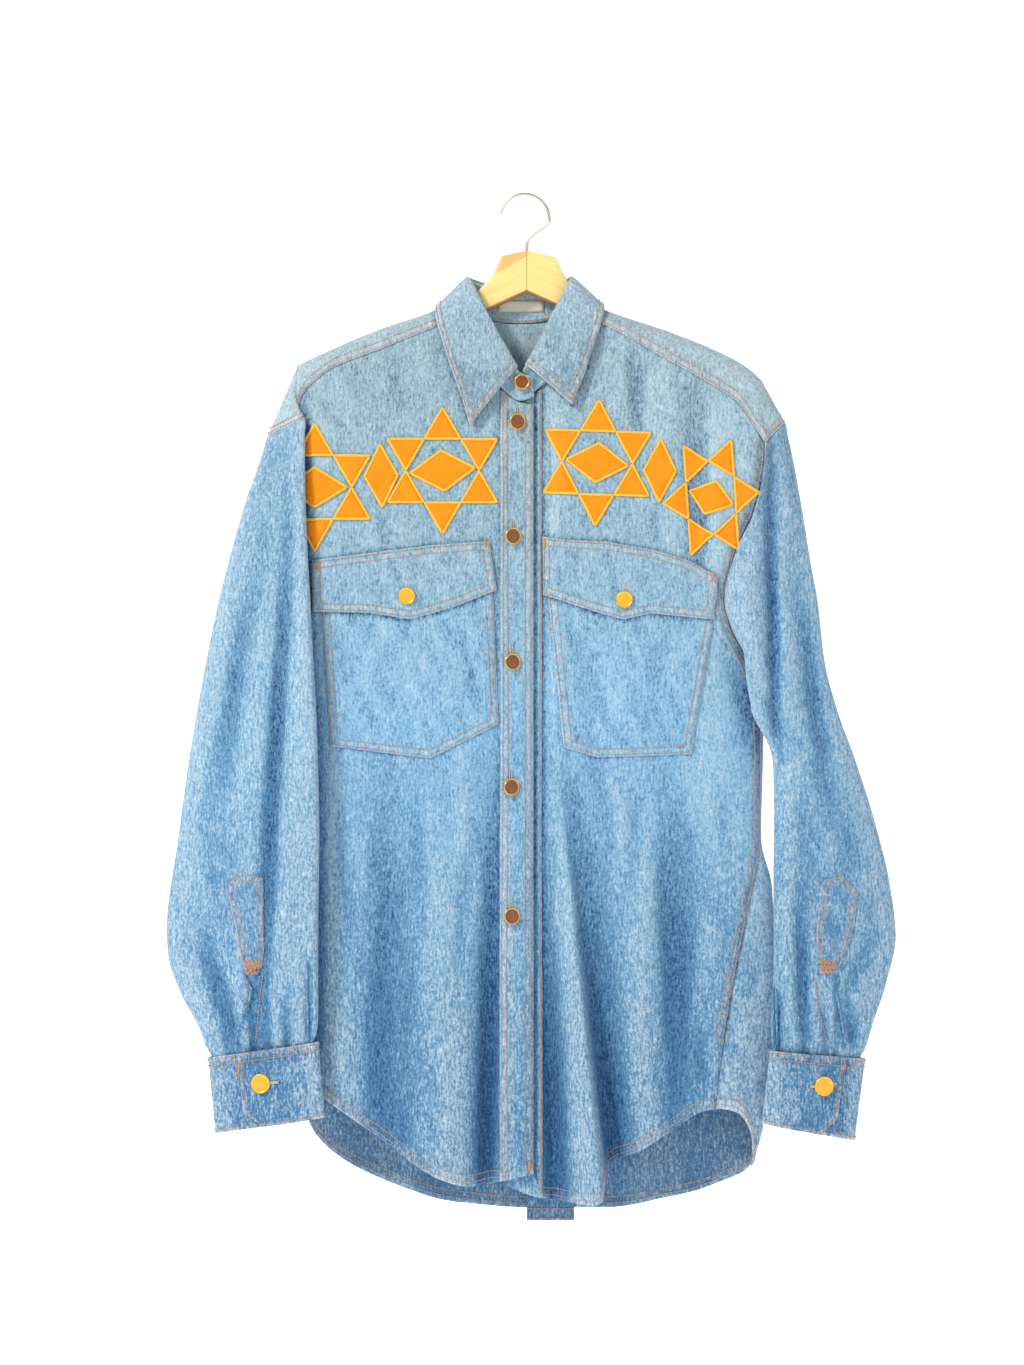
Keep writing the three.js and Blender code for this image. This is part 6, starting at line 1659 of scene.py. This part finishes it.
buttonSize = {"radius": 8.0, "gap": 0.6, "rim": 1.1}
buttons = {
    "button_1": {"x": -6, "z": -178, "tilt": 8, "larger": -0.6, "y": -18.1},
    "button_2": {"x": -10.5, "z": -215.7, "tilt": 22}, "button_3": {"x": -14.7, "z": -324, "tilt": 24},
    "button_4": {"x": -15.2, "z": -442.7, "tilt": 24}, "button_5": {"x": -16.2, "z": -560.5, "tilt": 24},
    "button_6": {"x": -15.7, "z": -682, "tilt": 22},
    "pocket_button_right": {"x": -114.5, "z": -380.5, "tilt": 0, "lift": 3.0},
    "pocket_button_left": {"x": 90.7, "z": -383.8, "tilt": 0, "lift": 3.0},
    "cuff_button_right": {"x": -251, "z": -838.5, "tilt": 0, "lean": -9.2, "larger": 1.2, "cuff": "left"},
    "cuff_button_left": {"x": 277.4, "z": -841, "tilt": 0, "lean": 11.2, "larger": 1.2, "cuff": "right"},
}


def makeLathe(name, profile, turn, place, marks, sides=48):
    profile = np.array(profile, float)
    a = np.arange(sides) / sides * 2 * math.pi
    ring = np.stack([profile[:, :1] * np.cos(a), np.repeat(-profile[:, 1:2], sides, 1), profile[:, :1] * np.sin(a)], -1)
    turned = np.array([[math.cos(turn), -math.sin(turn), 0], [math.sin(turn), math.cos(turn), 0], [0, 0, 1]])
    points = ring.reshape(-1, 3) @ turned.T + place
    return makeMesh(name, points, tubeFaces(len(profile), sides, turned=True), {"rim": np.repeat(marks, sides)})


def makeButtonLook(name, face, dark, rim):
    g = Graph(name)
    cloud = g.noise(5, 5, 5, 2, 0.6)
    base = g.blend(cloud, colour(*face), colour(*dark))
    base = g.blend(g.mark("rim"), base, colour(*rim))
    return g.surface(baseColor=base, roughness=0.3, coatWeight=0.25, coatRoughness=0.1,
                     metallic=g.mark("rim") * 0.75)


buttonShades = {  # face, cloud and rim
    "copper_button": ((156, 86, 0), (66, 30, 0), (226, 178, 86)),
    "amber_button": ((255, 190, 40), (250, 150, 10), (255, 196, 70)),
}
buttonLooks = {name: makeButtonLook(name, *shades) for name, shades in buttonShades.items()}

for name, button in buttons.items():
    x, z = button["x"], button["z"]
    if "y" in button:
        y = button["y"]
    elif "cuff" in button:
        y = cuffFrontY(button["cuff"], x)
    else:
        y = float(bodyPoint(placeOf(x, z), z)[1]) - button.get("lift", onCloth)
    tilt = button["tilt"] * degree
    radius = buttonSize["radius"] + button.get("larger", 0)
    lift = buttonSize["gap"] + math.sin(tilt) * buttonSize["radius"]
    rim = buttonSize["rim"]
    profile = [(0.6, 0.0), (radius - 1.0, 0.0), (radius - 0.3, 0.25), (radius, 0.9), (radius - 0.05, 1.6),
               (radius - 0.35, 2.15), (radius - rim * 0.6, 2.3), (radius - rim, 2.1), (radius - rim - 0.4, 1.75),
               (radius - rim - 1.4, 1.7), (radius * 0.45, 1.95), (0.5, 2.1)]
    marks = [0, 0, 1, 1, 1, 1, 1, 0.9, 0, 0, 0, 0]
    turn = (button["tilt"] + button.get("lean", 0)) * degree
    obj = makeLathe(f"{name}_disc", profile, turn, (x, y - lift, z), marks)
    front = name.startswith("button_")
    look = "copper_button" if front else "amber_button"
    finishPiece(obj, buttonLooks[look], look, [name])
    if front and name != "button_1":
        for aside in (-0.9, 0.9):
            ends = [(x + aside - 0.4, z + 15), (x + aside + 0.8, z - 9)]
            layOn("holes", rightFrontY, ends, 1.95, 0.75, 0.5, closed=False, step=0.8)
for name in ("pocket_button_right", "pocket_button_left"):
    x, z = buttons[name]["x"], buttons[name]["z"]
    layOn("holes", frontUnder(name), [(x, z + 7), (x, z + 15)], 3.25, 1.4, 0.6, closed=False, step=0.8)
cuffBar("holes", "left", (-243, -837.8), (-234, -837), 1.4)
cuffBar("holes", "right", (264.5, -841.5), (290, -839), 1.4)
for side, lines in slits.items():
    aside = sleeves[side][0]["outward"] * 1.9
    for line in lines:
        layOn("slits", sleeveSkins[side], [(x + aside, z) for x, z in line], 0.2, 1.2, 1.0, closed=False)
makeCords("slits", "slit_edges", denim["sleeve"], "denim")
paleThread = makeThread("pale_thread", (222, 206, 178), (158, 150, 140))
makeCords("holes", "buttonholes", paleThread, "denim")
print("buttons made")

# The blank label
labelShade = makeThread("label_weave", (238, 232, 216), (220, 210, 190), 0.6)
finishPiece(makeWall("neck_label_cloth", labelCloth, 0, 0.5, rim=0.1), labelShade, "label_cloth",
                                   ["neck_label"])

# The hanger
woodRows = table(
    "x top bottom", (-214, -167.5, -184), (-188, -151.5, -175), (-140, -130.8, -158), (-100, -118, -147),
    (-84, -114.5, -141), (-70, -110.5, -132), (-60, -106.5, -124), (-53, -99, -118), (-47.8, -90.8, -115),
    (-39.6, -82, -110.2), (-32.3, -74.1, -107), (-24.9, -57, -103.3), (-1.1, -52, -92.2), (26.6, -58.5, -104.8),
    (34.2, -75, -108.3), (41.5, -86.5, -112), (46.5, -94.5, -115), (52, -104, -119), (60, -109.5, -125),
    (72, -114.5, -134), (84, -118.5, -140), (131, -132.5, -157), (190, -158.5, -178), (205, -169.5, -186))
# The face colour by the joint and the under colour are painted shade; line is the dark joint
wood = {
    "thickness": 12, "end": 8.5, "corner": 3.4, "joint": -1.1, "sides": 28, "pale": (250, 222, 150),
    "dark": (234, 190, 108), "cutFace": (238, 166, 96), "under": (140, 92, 52), "line": (150, 100, 56),
}


def woodMesh():
    x = np.unique(np.concatenate([np.linspace(-214, 205, 160), woodRows["x"]]))
    top, bottom = np.interp(x, woodRows["x"], woodRows["top"]), np.interp(x, woodRows["x"], woodRows["bottom"])
    forward = -hangerForward * np.clip(np.abs(x) / hangerReach, 0, 1.05) ** 2
    half = mixed(wood["thickness"], wood["end"], np.abs(x) / hangerReach) / 2
    sides, corner = wood["sides"], wood["corner"]
    a = (np.arange(sides) + 0.5) / sides * 2 * math.pi
    across = np.sign(np.cos(a)) * (half[:, None] - corner) + corner * np.cos(a)
    up = np.sign(np.sin(a)) * ((top - bottom)[:, None] / 2 - corner) + corner * np.sin(a)
    across, up = forward[:, None] + across, (top + bottom)[:, None] / 2 + up
    points = np.stack([np.repeat(x[:, None], sides, 1), across, up], -1)
    return makeMesh("hanger_wood_shape", points.reshape(-1, 3), tubeFaces(len(x), sides))


def makeWoodLook():
    g = Graph("pale_wood")
    x, y, z = g.place()
    arm = z + (x * x) ** 0.5 * 0.42
    vector = g.node("ShaderNodeCombineXYZ", None, {0: x * 16, 1: y * 160, 2: arm * 260})
    grain = g.grain(vector, 4.0, 0.6)
    base = g.blend((grain * 1.5 - 0.35).larger(0).smaller(1), colour(*wood["pale"]), colour(*wood["dark"]))
    jointX = (wood["joint"] + crestShift) * mm  # where the two arms are joined
    # Painted shade: left of the joint, above a sloping line, the arm's upper face is darkened, as it lies in shade
    slope = (z - (x - jointX) * 0.567 + 0.0578).smoothly(-0.0003, 0.0003)
    base = g.blend(slope * x.smoothly(jointX, jointX - 0.0002) * 0.75, base, colour(*wood["cutFace"]))
    # Painted shade: a dark strip along the arms' lower edge stands for their underside in shade
    under = (z + ((x - jointX) ** 2) ** 0.5 * 0.457 + 0.0922).smoothly(0.0031, 0.0024)
    base = g.blend(under * 0.85, base, colour(*wood["under"]))
    nearJoint = (((x - jointX) ** 2) ** 0.5).smoothly(0.0002, 0.0007, 0.7, 0.0)
    base = g.blend(nearJoint, base, colour(*wood["line"]))
    return g.surface(baseColor=base, roughness=0.42, coatWeight=0.25, coatRoughness=0.2,
                     normal=g.bump(grain, 0.12, 0.0004))


def cutHole(obj, x, radius, bottom, top):
    sides = 24
    a = np.arange(sides) / sides * 2 * math.pi
    ring = np.stack([x + radius * np.cos(a), radius * np.sin(a)], -1)
    points = [(*p, z) for z in (bottom, top) for p in ring]
    cutter = makeMesh("hole_cutter", points, tubeFaces(2, sides, turned=True))
    cut = obj.modifiers.new("hole", "BOOLEAN")
    cut.operation, cut.solver, cut.object = "DIFFERENCE", "EXACT", cutter
    mesh = bpy.data.meshes.new_from_object(obj.evaluated_get(bpy.context.evaluated_depsgraph_get()))
    obj.modifiers.clear()
    obj.data = mesh
    bpy.data.objects.remove(cutter)


hookWire = {"radius": 1.7, "stem": -1, "centreZ": -21.6, "sides": 20}


def hookLine():
    radius = 21.6 + hookWire["radius"]
    stem, centre = hookWire["stem"], -crestShift
    line = [(stem, z) for z in (-63, -58, -52, -46)] + [(stem + 1.2, -41.5), (stem + 6, -36.8), (stem + 13, -32)]
    for a in range(-10, 167, 11):
        line.append((centre + radius * math.cos(a * degree), hookWire["centreZ"] + radius * math.sin(a * degree)))
    curve = np.array(line)
    steps = np.concatenate([[0], np.cumsum(np.linalg.norm(np.diff(curve, axis=0), axis=1) ** 0.5)])
    fine = []
    for i in range(len(curve) - 1):
        p1, p2 = curve[i], curve[i + 1]
        p0 = curve[i - 1] if i else 2 * p1 - p2
        p3 = curve[i + 2] if i + 2 < len(curve) else 2 * p2 - p1
        for t in np.arange(5) / 5:
            fine.append(0.5 * (2 * p1 + (p2 - p0) * t + (2 * p0 - 5 * p1 + 4 * p2 - p3) * t * t
                               + (3 * p1 - p0 - 3 * p2 + p3) * t**3))
    fine.append(curve[-1])
    return np.array(fine)


def makeHook():
    line = hookLine()
    centre = np.stack([line[:, 0], np.zeros(len(line)), line[:, 1]], axis=-1)
    direction = unit(np.gradient(centre, axis=0))
    aside = np.cross(direction, (0, 1, 0))
    radius = np.full(len(line), hookWire["radius"])
    turns = (0.4, 0.8, 1.15, 1.4)  # the rounded end
    tip = [centre[-1] + direction[-1] * hookWire["radius"] * math.sin(t) for t in turns]
    centre = np.concatenate([centre, tip])
    radius = np.concatenate([radius, [hookWire["radius"] * math.cos(t) for t in turns]])
    aside = np.concatenate([aside, [aside[-1]] * len(turns)])
    a = np.arange(hookWire["sides"]) / hookWire["sides"] * 2 * math.pi
    rings = centre[:, None] + radius[:, None, None] * (
        aside[:, None] * np.cos(a)[None, :, None] + np.array([0, 1, 0]) * np.sin(a)[None, :, None])
    return makeMesh("hanger_hook_wire", rings.reshape(-1, 3), tubeFaces(len(rings), hookWire["sides"], turned=True))


hangerWood = woodMesh()
cutHole(hangerWood, hookWire["stem"], hookWire["radius"] + 0.3, -64, -40)
finishPiece(hangerWood, makeWoodLook(), "hanger_wood", ["hanger_wood"])
steelGraph = Graph("plated_steel")
steel = steelGraph.surface(baseColor=colour(212, 206, 192), metallic=1.0,
                           roughness=steelGraph.noise(3, 3, 3) * 0.15 + 0.3)
finishPiece(makeHook(), steel, "hook_steel", ["hanger_hook"])
print("hanger made")

# Floor, wall and light
stage = {
    "floor": -1.3, "wall": 7.0, "front": -9, "side": 40, "top": 20, "shade": (250, 250, 250), "glow": 0.5,
    "surrounding": 0.4, "aim": (0, 0, -0.5),  # the light from all round, and where the lamps point
}


def makePlane(name, corners):
    mesh = bpy.data.meshes.new(name)
    mesh.from_pydata(corners, [], [[0, 1, 2, 3]])
    obj = addObject(name, mesh)
    g = Graph(f"{name}_shade")
    mesh.materials.append(g.surface(baseColor=colour(*stage["shade"]), roughness=0.9, specularIorLevel=0.1,
                                    emissionColor=colour(*stage["shade"]), emissionStrength=stage["glow"]))
    obj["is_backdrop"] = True


floorZ, wallY, front, side, top = (stage[name] for name in ("floor", "wall", "front", "side", "top"))
makePlane("floor", [(-side, front, floorZ), (side, front, floorZ), (side, wallY, floorZ), (-side, wallY, floorZ)])
makePlane("backdrop", [(-side, wallY, floorZ), (side, wallY, floorZ), (side, wallY, top), (-side, wallY, top)])

lights = {
    "key": {"at": (-2.0, -2.0, 1.7), "size": 0.7, "power": 96, "shade": (255, 251, 246)},
    "fill": {"at": (2.2, -2.4, -0.2), "size": 2.6, "power": 12, "shade": (240, 247, 255)},
    "rim": {"at": (0.4, 2.0, 1.2), "size": 1.8, "power": 30, "shade": (255, 255, 255)},
}
for name, light in lights.items():
    data = bpy.data.lights.new(name, "AREA")
    data.shape, data.size, data.energy = "DISK", light["size"], light["power"]
    data.color = colour(*light["shade"])[:3]
    obj = addObject(name, data)
    obj.location = light["at"]
    obj.rotation_euler = (Vector(stage["aim"]) - Vector(light["at"])).to_track_quat("-Z", "Y").to_euler()
scene = bpy.context.scene
scene.world = bpy.data.worlds.new("studio")
scene.world.use_nodes = True
background = scene.world.node_tree.nodes["Background"]
background.inputs["Color"].default_value = (1, 1, 1, 1)
background.inputs["Strength"].default_value = stage["surrounding"]
scene.view_settings.view_transform = "Standard"
scene.view_settings.look = "None"
print("lights made")

low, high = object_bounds()
print("visual box", [round(v, 4) for v in low], [round(v, 4) for v in high])
